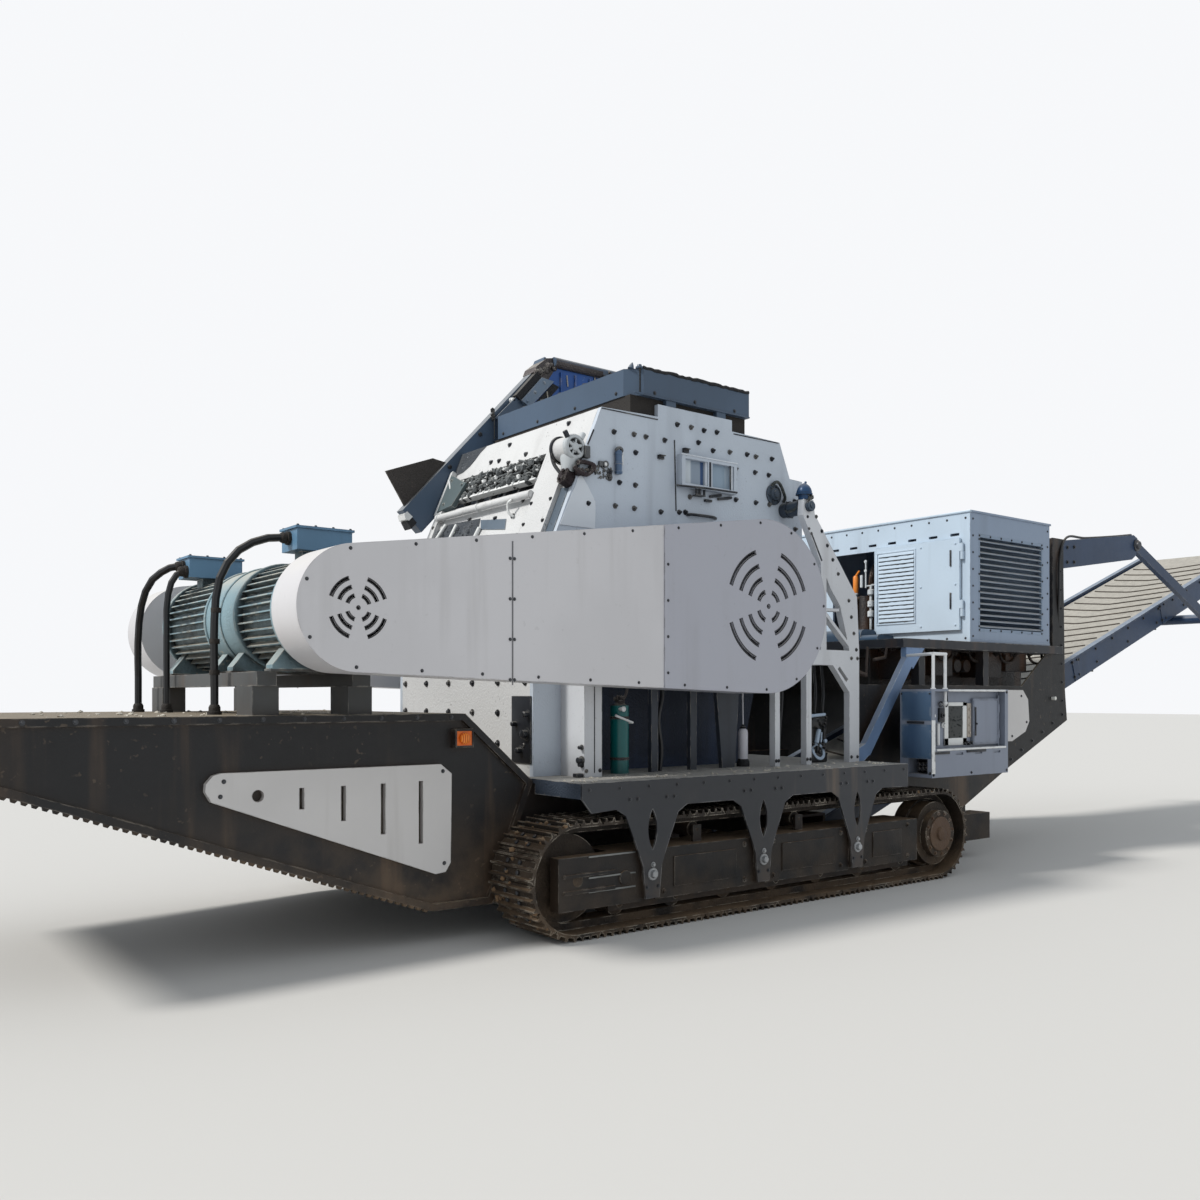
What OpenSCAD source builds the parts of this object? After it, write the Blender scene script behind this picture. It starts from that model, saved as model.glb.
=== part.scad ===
/* [Overall] */
// Half of the machine's width, at the skirts, belt guards and cabinet
half_w = 1700; // [1650:5:1760]
// Where the feed end of the tail lies, from the middle of the machine
tail_x = -8300; // [-8700:10:-8000]
// Where the head of the discharge conveyor ends
head_x = 8300; // [8100:10:8700]
// Height of the deck plate's top above the ground
deck_z = 1030; // [1010:5:1060]
// Thickness of the deck plate
deck_t = 30; // [15:1:40]

/* [Crawler tracks] */
// Centre of the idler wheel at the feed end
idler_x = -4445; // [-4500:5:-4400]
// Centre of the drive sprocket at the discharge end
drive_x = -495; // [-520:5:-460]
// Radius of the loop at the back of the shoes
track_r = 355; // [345:1:362]
// Width of a shoe
shoe_w = 480; // [460:5:490]
// Thickness of a shoe plate
shoe_t = 14; // [10:1:18]
// Height of a grouser above its shoe
grouser_h = 26; // [16:1:30]
// Number of shoes in one loop
shoe_count = 54; // [48:1:58]
// Gap between two shoes
shoe_gap = 12; // [8:1:16]
// Width of the link chain inside the shoes
chain_w = 180; // [150:5:200]
// Height of the link chain
chain_h = 60; // [50:1:66]
// Gap between the skirt and the track
track_gap = 15; // [8:1:25]
// Radius of a bottom roller
roller_r = 85; // [75:1:90]
// Number of bottom rollers on a side
roller_count = 7; // [5:1:8]
// Radius of a carrier roller under the top run
carrier_r = 55; // [45:1:60]
// Radius of the final drive's round cover
hub_r = 204; // [180:1:230]
// Bottom of the track frame's side boxes
frame_z0 = 200; // [185:5:215]
// Top of the track frame's side boxes
frame_z1 = 550; // [520:5:560]
// Thickness of a side box
frame_box_t = 95; // [80:1:100]

/* [Skirts] */
// Thickness of a skirt plate
skirt_t = 15; // [10:1:20]
// Middle of the middle leg
leg_x = -2753; // [-2780:1:-2730]
// Distance from leg to leg
leg_pitch = 1087; // [1050:1:1110]
// Lower end of the legs
leg_z0 = 220; // [205:1:235]
// Half width of a leg at its lower end
leg_half = 62; // [50:1:80]
// Lower edge of the skirt between the legs
skirt_z0 = 830; // [805:1:860]
// Feed end of the skirt and the deck
deck_x0 = -4445; // [-4500:5:-4420]
// Discharge end of the skirt and the deck
deck_x1 = -1005; // [-1030:1:-990]
// Half height of the eye-shaped hole in a leg
eye_half_h = 140; // [110:1:150]
// Half width of the eye-shaped hole in a leg
eye_half_w = 40; // [30:1:48]

/* [Tail] */
// Gap between the track and the tail and nose side plates
hull_gap = 60; // [45:1:75]
// Thickness of the tail and nose side plates
hull_t = 20; // [12:1:25]
// Top of the tail
tail_z = 1485; // [1450:5:1520]
// Where the top of the tail turns down to the deck
tail_x1 = -4997; // [-5040:1:-4960]
// Lowest corner of the tail
tail_foot_x = -5242; // [-5280:1:-5200]
// Height of the lowest corner above the ground
tail_foot_z = 216; // [200:1:240]
// Height of the tail's nose at its far end
tail_nose_h = 175; // [150:1:220]
// Width of the rim around a tail plate
rim_w = 45; // [30:1:60]
// How far the rim stands out
rim_t = 30; // [15:1:35]
// How far the slotted panel stands out
panel_t = 40; // [20:1:45]
// Width of the panel's slots
panel_slot_w = 31; // [20:1:40]
// Thickness of the tail's deck and floor
tail_skin = 20; // [10:1:25]

/* [Motors] */
// Motor axis along the machine
motor_x = -6005; // [-6020:1:-5990]
// Motor axis height
motor_z = 2095; // [2080:1:2110]
// Radius over a motor's fins
motor_r = 335; // [310:1:345]
// Height of a cooling fin
fin_h = 45; // [30:1:55]
// Thickness of a cooling fin
fin_t = 9; // [6:1:12]
// Number of cooling fins around a motor
fin_count = 40; // [32:1:44]
// Length of the near motor's body
motor_len_a = 940; // [900:5:945]
// Length of the far motor's body
motor_len_b = 1215; // [1150:5:1300]
// Gap between the two motors
motor_gap = 20; // [10:1:40]
// Length of a fan cowl
cowl_len = 270; // [200:5:300]
// Top of the motor base rails
rail_z = 1745; // [1735:1:1750]
// Height of the motor base rails
rail_h = 85; // [60:1:100]
// Width of a junction box
jbox_w = 370; // [330:5:400]
// Depth of a junction box
jbox_d = 250; // [220:5:280]
// Height of a junction box
jbox_h = 150; // [130:5:170]
// Radius of a motor cable
cable_r = 25; // [18:1:28]

/* [Belt guards] */
// Depth of a belt guard
guard_d = 370; // [350:5:380]
// Wall of a belt guard
guard_wall = 8; // [6:1:12]
// Radius of the guard's round end at the motor
guard_ra = 362; // [350:1:375]
// Radius of the guard's round end at the crusher
guard_rb = 650; // [630:1:665]
// Middle of the guard's large end along the machine
guard_bx = -2700; // [-2740:1:-2680]
// Height of the middle of the guard's large end
guard_bz = 2270; // [2255:1:2290]
// Where the two covers of a guard meet
guard_seam_x = -3730; // [-3800:5:-3680]
// How far the discharge-side cover stands out from the other
guard_step = 8; // [4:1:10]
// Width of a vent slot at the motor
vent_slot_a = 14; // [10:1:18]
// Width of a vent slot at the crusher
vent_slot_b = 20; // [14:1:26]

/* [Crusher] */
// How far the crusher's side plates stand in from the nose side plates
crusher_inset = 130; // [120:1:150]
// Thickness of the crusher's plates
crusher_t = 40; // [30:1:50]
// Feed face of the crusher's lower body
crusher_x0 = -4350; // [-4380:1:-4330]
// Feed end of the side plate's top
crusher_top_x = -3737; // [-3760:1:-3720]
// Height of the side plate's top
crusher_top_z = 3740; // [3720:1:3760]
// Height where the leaning feed face begins
lean_z = 2313; // [2290:1:2340]
// Discharge face of the crusher
crusher_x1 = -1541; // [-1560:1:-1520]
// Lower edge of the side plate beside the chute
crusher_low_z = 1700; // [1680:1:1720]
// Feed end of the inspection box
window_x0 = -2990; // [-3010:1:-2970]
// Length of the inspection box
window_w = 602; // [560:1:620]
// Lower edge of the inspection box
window_z0 = 3235; // [3220:1:3250]
// Height of the inspection box
window_h = 250; // [230:1:270]
// How far the inspection box stands out
window_d = 60; // [40:1:80]

/* [Inlet] */
// Feed end of the top collar
collar_x0 = -3440; // [-3470:1:-3420]
// Discharge end of the top collar
collar_x1 = -2191; // [-2220:1:-2180]
// Lower edge of the top collar
collar_z0 = 3895; // [3885:1:3905]
// Height of the top collar
collar_h = 205; // [180:1:220]
// Thickness of the collar's beams
collar_t = 70; // [50:1:90]
// Height of the inlet hood's top rail
hood_z = 4720; // [4700:1:4740]
// Width of the hood's leaning beam
beam_w = 250; // [220:1:270]
// Radius of the hood's top rail
hood_rail_r = 48; // [36:1:55]
// Thickness of the hood's plate
hood_t = 16; // [10:1:20]

/* [Support frame] */
// Gap between the support frames and the belt guards
guard_pad = 50; // [40:1:60]
// Thickness of the support frames
support_t = 60; // [50:1:80]
// Lower edge of the girder
girder_z0 = 1861; // [1850:1:1870]
// Height of the girder
girder_h = 129; // [110:1:140]
// Height of the leaning post's top
post_top_z = 3235; // [3210:1:3250]

/* [Engine house] */
// Feed face of the engine house
house_x0 = 662; // [650:1:670]
// Length of the engine house
house_l = 1449; // [1400:1:1500]
// How far the engine house stands out over the nose side plates, on each side
house_step = 70; // [50:1:90]
// Lower edge of the engine house
house_z0 = 2127; // [2120:1:2135]
// Height of the engine house
house_h = 1268; // [1240:1:1300]
// Wall of the engine house
house_wall = 30; // [20:1:40]
// Width of the engine door
door_w = 1000; // [960:1:1010]
// Height of the engine door
door_h = 900; // [880:1:920]
// Thickness of the engine door
door_t = 28; // [20:1:34]
// Gap between a door and what it closes
door_gap = 8; // [5:1:12]
// Radius of a hinge pin
pin_r = 8; // [6:1:10]
// Clearance round a hinge pin
pin_clear = 1; // [0.5:0.1:1.5]
// Thickness of the platform under the engine house
platform_t = 82; // [60:1:90]
// Feed end of the platform
platform_x0 = -450; // [-470:1:-430]
// Discharge end of the platform
platform_x1 = 2300; // [2280:1:2310]
// Number of louvre slots in the door
louvre_count = 12; // [8:1:13]
// Number of slats in the radiator grille
slat_count = 16; // [12:1:18]

/* [Control cabinet] */
// Feed end of the cabinet
cab_x0 = -668; // [-680:1:-650]
// Length of the cabinet
cab_l = 1176; // [1150:1:1200]
// Lower edge of the cabinet
cab_z0 = 890; // [880:1:900]
// Height of the cabinet
cab_h = 770; // [750:1:790]
// Depth of the cabinet
cab_d = 330; // [300:1:350]
// Width of the cabinet door
cab_door_w = 402; // [380:1:410]
// Height of the cabinet door
cab_door_h = 417; // [400:1:430]
// Thickness of the cabinet door
cab_door_t = 20; // [14:1:24]
// Radius of the handrail's tube
rail_r = 14; // [10:1:18]

/* [Discharge conveyor] */
// Slope of the conveyor in degrees
conv_angle = 19.32; // [18:0.1:20]
// Foot of the conveyor along the machine
conv_x0 = -900; // [-950:1:-850]
// Height of the rails' top at the foot
conv_z0 = 542; // [530:1:560]
// Inner face of the conveyor's rails, from the middle
conv_y = 700; // [680:1:710]
// Thickness of a conveyor rail
conv_rail_t = 40; // [30:1:50]
// Height of a conveyor rail
conv_rail_h = 297; // [285:1:310]
// Radius of the belt's drums
drum_r = 110; // [100:1:115]
// Thickness of the belt
belt_t = 12; // [8:1:16]
// Gap between the belt and the rails
belt_side_gap = 30; // [20:1:50]
// How far the belt's top run lies below the rails' top
belt_drop = 40; // [30:1:60]

/* [Arms] */
// Thickness of a conveyor arm
arm_t = 90; // [70:1:110]
// Far end of the arms
arm_x1 = 4150; // [4100:1:4200]
// Where the cross tube carries the conveyor
hanger_x = 6042; // [5950:1:6100]
// Radius of the cross tube under the conveyor
hanger_r = 60; // [50:1:70]

/* [Hidden] */
$fn = 48;

track_z = track_r + shoe_t + grouser_h;
track_run = drive_x - idler_x;
loop_len = 2 * track_run + 2 * PI * track_r;
shoe_pitch = loop_len / shoe_count;
track_y1 = half_w - skirt_t - track_gap;
track_mid = track_y1 - shoe_w / 2;
wheel_r = track_r - chain_h;
box_y1 = track_y1 - 15;
box_y0 = box_y1 - frame_box_t;
beam_y0 = 2 * track_mid - box_y0;
plate_y0 = 2 * track_mid - box_y1;
beam_x0 = idler_x + wheel_r + 30;
beam_x1 = drive_x - wheel_r - 30;
beam_z0 = track_z - wheel_r + 2 * roller_r + 30;
roller_z = track_z - wheel_r + roller_r;
carrier_z = track_z + wheel_r - carrier_r;
axle_r = 28;

hull_y = half_w - skirt_t - track_gap - shoe_w - hull_gap;
crusher_y = hull_y - crusher_inset;
inner_y = crusher_y - crusher_t;
support_y = half_w - guard_d - guard_pad;
house_y = hull_y + house_step;
// A hair's gap where two slanted faces meet
hair = 0.02;

tail_end_z = tail_z - tail_nose_h;
lean = (crusher_top_x - crusher_x0) / (crusher_top_z - lean_z);
guard_y0 = half_w - guard_d;
motor_core_r = motor_r - fin_h;
motor_a_y0 = -guard_y0;
motor_a_y1 = motor_a_y0 + motor_len_a;
motor_b_y0 = motor_a_y1 + motor_gap;
motor_b_y1 = motor_b_y0 + motor_len_b;
house_x1 = house_x0 + house_l;
house_z1 = house_z0 + house_h;
hinge_x = house_x0 - door_gap - door_t / 2;
hinge_y = -house_y + 75;
door_y0 = hinge_y + 20;
door_z0 = house_z0 + 123;
cab_x1 = cab_x0 + cab_l;
cab_z1 = cab_z0 + cab_h;
recess_x0 = cab_x0 + 43;
recess_x1 = cab_x1 - 50;
recess_z0 = cab_z0 + 250;
recess_z1 = cab_z1 - 20;
recess_d = 70;
cab_hinge_x = recess_x1 - 27;
cab_hinge_y = -half_w + recess_d - door_gap - cab_door_t / 2;
cab_door_x1 = cab_hinge_x - 14;
cab_door_x0 = cab_door_x1 - cab_door_w;
cab_door_z0 = recess_z0 + 20;
drum_z = -belt_drop - belt_t - drum_r;
conv_run = (head_x - conv_x0 + drum_z * sin(conv_angle) - drum_r - belt_t) / cos(conv_angle);
girder_z1 = girder_z0 + girder_h;
support_y0 = support_y - support_t;
nose_z = 1704;

// A block between two corners
module block(x0, x1, y0, y1, z0, z1) translate([x0, y0, z0]) cube([x1 - x0, y1 - y0, z1 - z0]);
// A drawing in X and Z as a plate whose outer face lies y_out from the middle, on the right side
module plate(y_out, t) translate([0, t - y_out, 0]) rotate([90, 0, 0]) linear_extrude(t) children();
// A round bar across the machine
module cross_bar(x, z, r, y0, y1) translate([x, y0, z]) rotate([-90, 0, 0]) cylinder(r = r, h = y1 - y0);
// A piece drawn on the right side, as its mirror image on the left
module on_left() mirror([0, 1, 0]) children();
module on_both_sides() { children(); mirror([0, 1, 0]) children(); }

function unit(v) = v / norm(v);
function edge_normal(p, i) = let(d = unit(p[(i + 1) % len(p)] - p[i])) [-d[1], d[0]];
// An outline that runs anticlockwise, moved inwards by t
function inset(p, t) = [for (i = [0:len(p) - 1])
  let(n1 = edge_normal(p, (i + len(p) - 1) % len(p)), n2 = edge_normal(p, i))
  p[i] + t * (n1 + n2) / (1 + n1 * n2)];
// The four points where two circles touch their common outer tangents
function tangent_quad(a, ra, b, rb) =
  let(d = b - a, dir = atan2(d[1], d[0]), turn = acos((ra - rb) / norm(d)))
  [for (t = [[a, ra, -1], [b, rb, -1], [b, rb, 1], [a, ra, 1]])
    t[0] + t[1] * [cos(dir + t[2] * turn), sin(dir + t[2] * turn)]];

// A bar between two points of a drawing
module bar(a, b, w) translate(a) rotate(atan2(b[1] - a[1], b[0] - a[0])) translate([0, -w / 2])
  square([norm(b - a), w]);

// A point of the track's loop, s along it from the idler's foot and h out from the shoes' back
function loop_at(s, h) =
  s < track_run ? [idler_x + s, track_z - track_r - h]
  : s < track_run + PI * track_r
    ? let(t = (s - track_run) / track_r * 180 / PI - 90)
      [drive_x + (track_r + h) * cos(t), track_z + (track_r + h) * sin(t)]
  : s < 2 * track_run + PI * track_r
    ? [drive_x - (s - track_run - PI * track_r), track_z + track_r + h]
  : let(t = (s - 2 * track_run - PI * track_r) / track_r * 180 / PI + 90)
    [idler_x + (track_r + h) * cos(t), track_z + (track_r + h) * sin(t)];
// The outline of one shoe with three grousers: place along the shoe, height above its back
shoe_outline = concat([[shoe_gap / 2, 0], [shoe_gap / 2, shoe_t]],
  [for (g = [0.16, 0.5, 0.84], p = [[-12, 0], [-5, grouser_h], [5, grouser_h], [12, 0]])
    [g * shoe_pitch + p[0], shoe_t + p[1]]],
  [[shoe_pitch - shoe_gap / 2, shoe_t], [shoe_pitch - shoe_gap / 2, 0]]);

module loop_shape(r) {
  translate([idler_x, track_z]) circle(r);
  translate([drive_x, track_z]) circle(r);
  translate([idler_x, track_z - r]) square([track_run, 2 * r]);
}

module track() color("#4a3c30") {
  plate(track_y1, shoe_w) difference() {
    polygon([for (i = [0:shoe_count - 1], p = shoe_outline) loop_at(i * shoe_pitch + p[0], p[1])]);
    loop_shape(track_r - 8);
  }
  plate(track_mid + chain_w / 2, chain_w) difference() {
    loop_shape(track_r - 8);
    loop_shape(wheel_r);
  }
}

roller_pitch = (beam_x1 - beam_x0 - 200) / (roller_count - 1);
function roller_x(i) = beam_x0 + 100 + i * roller_pitch;
carriers = [leg_x - leg_pitch / 2, leg_x + leg_pitch / 2];

// The side frame: a box beam, roller brackets, the idler's fork and the outer covers
module track_frame() color("#2b2a29") difference() {
  union() {
    block(beam_x0, beam_x1, -box_y0, -beam_y0, beam_z0, frame_z1);
    for (y = [box_y0, beam_y0 + 20]) {
      block(beam_x0, beam_x1, -y, -y + 20, roller_z - 45, beam_z0);
      for (x = carriers) block(x - 40, x + 40, -y, -y + 20, frame_z1, carrier_z + 35);
    }
    block(beam_x0 - 480, beam_x0, -box_y1, -box_y0, frame_z0, frame_z1);
    block(beam_x0 - 480, beam_x0, -beam_y0, -plate_y0, frame_z0, frame_z1);
    block(beam_x0, leg_x - leg_pitch - leg_half, -box_y1, -box_y0, frame_z0, frame_z1);
    for (i = [-1, 0]) block(leg_x + i * leg_pitch + leg_half, leg_x + (i + 1) * leg_pitch - leg_half,
      -box_y1, -box_y0, frame_z0, frame_z1);
    block(leg_x + leg_pitch + leg_half, beam_x1, -box_y1, -box_y0, frame_z0, frame_z1);
    for (z = [0.32, 0.62]) block(beam_x0 - 440, beam_x0 - 20, -box_y1 - 12, -box_y1,
      frame_z0 + z * (frame_z1 - frame_z0), frame_z0 + z * (frame_z1 - frame_z0) + 22);
    for (i = [-1:1]) block(leg_x + i * leg_pitch - leg_half, leg_x + i * leg_pitch + leg_half,
      skirt_t - half_w, -box_y0, leg_z0, frame_z1 - 60);
    block(beam_x1, drive_x + 40, -beam_y0, -plate_y0, track_z - 120, track_z + 120);
  }
  for (i = [0:roller_count - 1]) cross_bar(roller_x(i), roller_z, axle_r, -box_y0 - 1, -beam_y0 + 1);
  for (x = carriers) cross_bar(x, carrier_z, axle_r / 2, -box_y0 - 1, -beam_y0 + 1);
  cross_bar(idler_x, track_z, axle_r + 12, -box_y1 - 1, -plate_y0 + 1);
}

module idler_wheel() color("#332a24") {
  cross_bar(idler_x, track_z, wheel_r, -track_mid - 75, -track_mid + 75);
  cross_bar(idler_x, track_z, axle_r + 12, -box_y1, -plate_y0);
}

module sprocket() color("#3a2d24") {
  difference() {
    cross_bar(drive_x, track_z, wheel_r, -track_mid - 60, -track_mid + 60);
    for (i = [0:11]) translate([drive_x, 0, track_z]) rotate([0, i * 30, 0])
      cross_bar(wheel_r - 45, 0, 18, -track_mid - 61, -track_mid + 61);
  }
  cross_bar(drive_x, track_z, wheel_r - 20, -track_y1 + 70, -track_mid - 60);
  cross_bar(drive_x, track_z, hub_r, -track_y1 + 10, -track_y1 + 70);
  cross_bar(drive_x, track_z, 110, -track_mid + 60, -beam_y0);
}

module rollers() color("#2e2723") {
  for (i = [0:roller_count - 1]) {
    cross_bar(roller_x(i), roller_z, roller_r, -track_mid - 80, -track_mid + 80);
    cross_bar(roller_x(i), roller_z, axle_r, -box_y0, -beam_y0);
  }
  for (x = carriers) {
    cross_bar(x, carrier_z, carrier_r, -track_mid - 80, -track_mid + 80);
    cross_bar(x, carrier_z, axle_r / 2, -box_y0, -beam_y0);
  }
}

// Half of a leg's outline, from its foot up to the arch, for dx = -1 or 1
function leg_side(x, dx) = [[x + dx * leg_half, leg_z0], [x + dx * (leg_half + 22), 440],
  [x + dx * (leg_half + 60), 540], [x + dx * 235, skirt_z0 - 34], [x + dx * 320, skirt_z0 + 14]];
module skirt() color("#3c3e44") plate(half_w, skirt_t) difference() {
  polygon(concat([[deck_x0, deck_z], [deck_x0, deck_z - 104], [deck_x0 + 79, skirt_z0]],
    [for (i = [-1:1], p = concat(
      [for (k = [4:-1:0]) leg_side(leg_x + i * leg_pitch, -1)[k]],
      leg_side(leg_x + i * leg_pitch, 1))) p],
    [[deck_x1, skirt_z0 + 5], [deck_x1, deck_z]]));
  for (i = [-1:1]) translate([leg_x + i * leg_pitch, skirt_z0 - 140]) eye(eye_half_w, eye_half_h);
}
// A pointed eye, as two arcs
module eye(w, h) {
  r = (w * w + h * h) / (2 * w);
  intersection() {
    translate([r - w, 0]) circle(r);
    translate([w - r, 0]) circle(r);
  }
}

module deck() color("#c9c6bf") {
  difference() {
    block(deck_x0, deck_x1, skirt_t - half_w, half_w - skirt_t, deck_z - deck_t, deck_z);
    block(chute_x0 + crusher_t, chute_x1 - crusher_t, crusher_t - chute_y, chute_y - crusher_t,
      deck_z - deck_t - 1, deck_z + 1);
  }
  on_both_sides() block(deck_x0, deck_x0 + skirt_t, skirt_t - half_w, -hull_y - rim_t,
    deck_z - 104, deck_z - deck_t);
}

// Where the tail's end wall stands at a height
function tail_end_x(z) = tail_outline[1][0] + (z - tail_outline[1][1])
  * (tail_outline[2][0] - tail_outline[1][0]) / (tail_outline[2][1] - tail_outline[1][1]);
chassis_y1 = hull_y - hull_t;
cross_tubes = [leg_x - 700, leg_x + 860];
chassis_z0 = 620;
module chassis_beams() color("#26272b") on_both_sides() plate(chassis_y1, 110)
  polygon([[tail_end_x(chassis_z0) + hair, chassis_z0], [500, chassis_z0], [500, deck_z - deck_t],
    [tail_end_x(deck_z - deck_t) + hair, deck_z - deck_t]]);
module cross_members() color("#26272b") {
  for (x = cross_tubes) difference() {
    block(x, x + 300, -beam_y0, beam_y0, 400, chassis_z0);
    block(x + 20, x + 280, -beam_y0 - 1, beam_y0 + 1, 420, chassis_z0 - 20);
  }
  for (x = [1200, 2350]) cross_bar(x, conv_under(x) - 55 / cos(conv_angle), 55, -chassis_y1, chassis_y1);
}

// The tail's outline in X and Z, anticlockwise from its lowest corner
tail_outline = [[tail_foot_x, tail_foot_z], [tail_foot_x + 454, tail_foot_z - 4],
  [deck_x0 - 16, deck_z - 16], [tail_x1, tail_z], [tail_x, tail_z], [tail_x, tail_end_z]];
module tail_plate() color("#2a2b2f") {
  plate(hull_y, hull_t) polygon(tail_outline);
  plate(hull_y + rim_t, rim_t) difference() {
    polygon(tail_outline);
    polygon(inset(tail_outline, rim_w));
  }
}

// An upright slot between two heights of a drawing
module slot(x, z0, z1, w) translate([x - w / 2, z0]) square([w, z1 - z0]);
panel_slots = [[-6120, 929, 1056], [-5856, 841, 1054], [-5592, 740, 1055], [-5329, 660, 1059]];
module tail_panel() color("#c4c4c8") plate(hull_y + panel_t, panel_t) difference() {
  polygon([[-6640, 1150], [-6680, 1105], [-6684, 1060], [-6650, 1000], [-5222, 455],
    [-5150, 462], [-5112, 520], [-5104, 1096], [-5184, 1160], [-6594, 1162]]);
  translate([-6383, 1023]) circle(35);
  for (s = panel_slots) slot(s[0], s[1], s[2], panel_slot_w);
}

module tail_deck() color("#303136") {
  w = chassis_y1;
  translate([0, w, 0]) rotate([90, 0, 0]) linear_extrude(2 * w) difference() {
    polygon(tail_outline);
    polygon(inset(tail_outline, tail_skin));
  }
}

module marker_lamp() color("#e07a10") {
  block(-5076, -4962, -hull_y - 55, -hull_y, 1276, 1371);
  cross_bar(-5019, 1323, 38, -hull_y - 68, -hull_y - 55);
}

// The nose side plate with the box post that carries the conveyor arm
module nose_plate() color("#2d2e33") {
  plate(hull_y, hull_t) polygon([[deck_x1, chassis_z0], [300, chassis_z0], [480, 450], [640, 507],
    [1459, 872], [2594, 1338], [2552, 1665], [2520, 2967], [2520, 3300], [platform_x1, 3300],
    [platform_x1, house_z0 - platform_t], [2167, house_z0 - platform_t], [1701, nose_z],
    [deck_x1, nose_z]]);
  plate(hull_y - hull_t, arm_t - hull_t) polygon([[2320, 1500], [2540, 1500], [2520, 2967],
    [2520, 3300], [2320, 3300]]);
}
module nose_panel() color("#c4c4c8") plate(hull_y + panel_t, panel_t) polygon([[cab_x1 + 60, 1139],
  [1451, 1139], [1701, 1232], [1773, 1339], [1749, 1564], [1652, 1662], [cab_x1 + 60, 1662]]);
module rear_bumper() color("#1f2023") {
  on_both_sides() {
    block(640, 1110, -hull_y, 230 - hull_y, 175, 435);
    block(640, 720, hull_t - hull_y, 3 * hull_t - hull_y, 435, 660);
  }
}

module conveyor_arm() color("#3a4554") {
  plate(hull_y, arm_t) polygon([[2520, 2985], [arm_x1 - 100, 3200], [arm_x1, 3260], [arm_x1 + 30, 3460],
    [arm_x1 - 60, 3490], [2520, 3290]]);
}
module conveyor_hanger() color("#2c3038") {
  on_both_sides() plate(hull_y, 60) bar([arm_x1 + 36, 3360], [hanger_x, conv_top(hanger_x) - 360], 120);
  cross_bar(hanger_x, conv_under(hanger_x) - hanger_r / cos(conv_angle), hanger_r, -hull_y, hull_y);
}
// Heights of the conveyor rails' top and underside above a place along the machine
function conv_top(x) = conv_z0 + (x - conv_x0) * tan(conv_angle);
function conv_under(x) = conv_top(x) - conv_rail_h / cos(conv_angle);

module on_conveyor() translate([conv_x0, 0, conv_z0]) rotate([0, -conv_angle, 0]) children();
module conveyor_frame() color("#3d4653") on_conveyor() {
  on_both_sides() {
    block(-150, conv_run + 50, -conv_y - conv_rail_t, -conv_y, -conv_rail_h, 0);
    block(-150, conv_run + 50, -conv_y - conv_rail_t - 40, -conv_y - conv_rail_t, -20, 0);
  }
}
module belt_shape(r) {
  translate([0, drum_z]) circle(r);
  translate([conv_run, drum_z]) circle(r);
  translate([0, drum_z - r]) square([conv_run, 2 * r]);
}
module conveyor_belt() color("#8f8a80") on_conveyor() {
  w = conv_y - belt_side_gap;
  plate(w, 2 * w) difference() {
    belt_shape(drum_r + belt_t);
    belt_shape(drum_r);
  }
}
module conveyor_drums() color("#2b2b2b") on_conveyor() for (x = [0, conv_run]) {
  w = conv_y - belt_side_gap;
  cross_bar(x, drum_z, drum_r, -w, w);
  cross_bar(x, drum_z, 40, -conv_y, conv_y);
}

foot_z = rail_z + 12;
module motor(y0, y1, cowl_at_start, pad_x, pad_y, pad_z) color("#8fa3a6") {
  cowl_y0 = cowl_at_start ? y0 : y1 - cowl_len;
  fin_y0 = cowl_at_start ? y0 + cowl_len : y0;
  fin_y1 = cowl_at_start ? y1 : y1 - cowl_len;
  cross_bar(motor_x, motor_z, motor_core_r, y0, y1);
  cross_bar(motor_x, motor_z, motor_r, cowl_y0, cowl_y0 + cowl_len);
  for (i = [0:fin_count - 1]) translate([motor_x, 0, motor_z]) rotate([0, i * 360 / fin_count, 0])
    block(motor_core_r - 10, motor_r - 8, fin_y0, fin_y1, -fin_t / 2, fin_t / 2);
  for (y = [y0 + 90, y1 - 190]) translate([0, y + 100, 0]) rotate([90, 0, 0]) linear_extrude(100)
    polygon([[motor_x - 320, foot_z], [motor_x + 320, foot_z], [motor_x + 320, foot_z + 25],
      [motor_x + 200, motor_z - 160], [motor_x - 200, motor_z - 160], [motor_x - 320, foot_z + 25]]);
  block(pad_x, pad_x + 200, pad_y - 60, pad_y + 60, motor_z + 200, pad_z);
}

module junction_box(x, y, z) color("#6f8ba0") {
  block(x, x + jbox_w, y - jbox_d / 2, y + jbox_d / 2, z, z + jbox_h - 15);
  block(x - 12, x + jbox_w + 12, y - jbox_d / 2 - 12, y + jbox_d / 2 + 12, z + jbox_h - 15, z + jbox_h);
}
jbox_a = [-6000, -680, 2520];
jbox_b = [-6290, 520, 2430];
module junction_boxes() {
  junction_box(jbox_a[0], jbox_a[1], jbox_a[2]);
  junction_box(jbox_b[0], jbox_b[1], jbox_b[2]);
}

// The motors, each with the pad under its junction box
module near_motor() motor(motor_a_y0, motor_a_y1, false, jbox_a[0] + 60, jbox_a[1], jbox_a[2]);
module far_motor() motor(motor_b_y0, motor_b_y1, true, jbox_b[0] + 110, jbox_b[1], jbox_b[2]);

rail_x = [motor_x - 360, motor_x + 240];
module motor_base() color("#1f2022") {
  for (x = rail_x) {
    block(x, x + 120, 30 - hull_y, crusher_y, rail_z - rail_h, rail_z);
    for (y = [50 - hull_y, crusher_y - 300]) block(x - 20, x + 140, y, y + 260, tail_z, rail_z - rail_h);
  }
  for (y = [motor_a_y0 + 90, motor_a_y1 - 190, motor_b_y0 + 90, motor_b_y1 - 190])
    block(motor_x - 330, motor_x + 330, y, y + 100, rail_z, foot_z);
}

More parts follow.
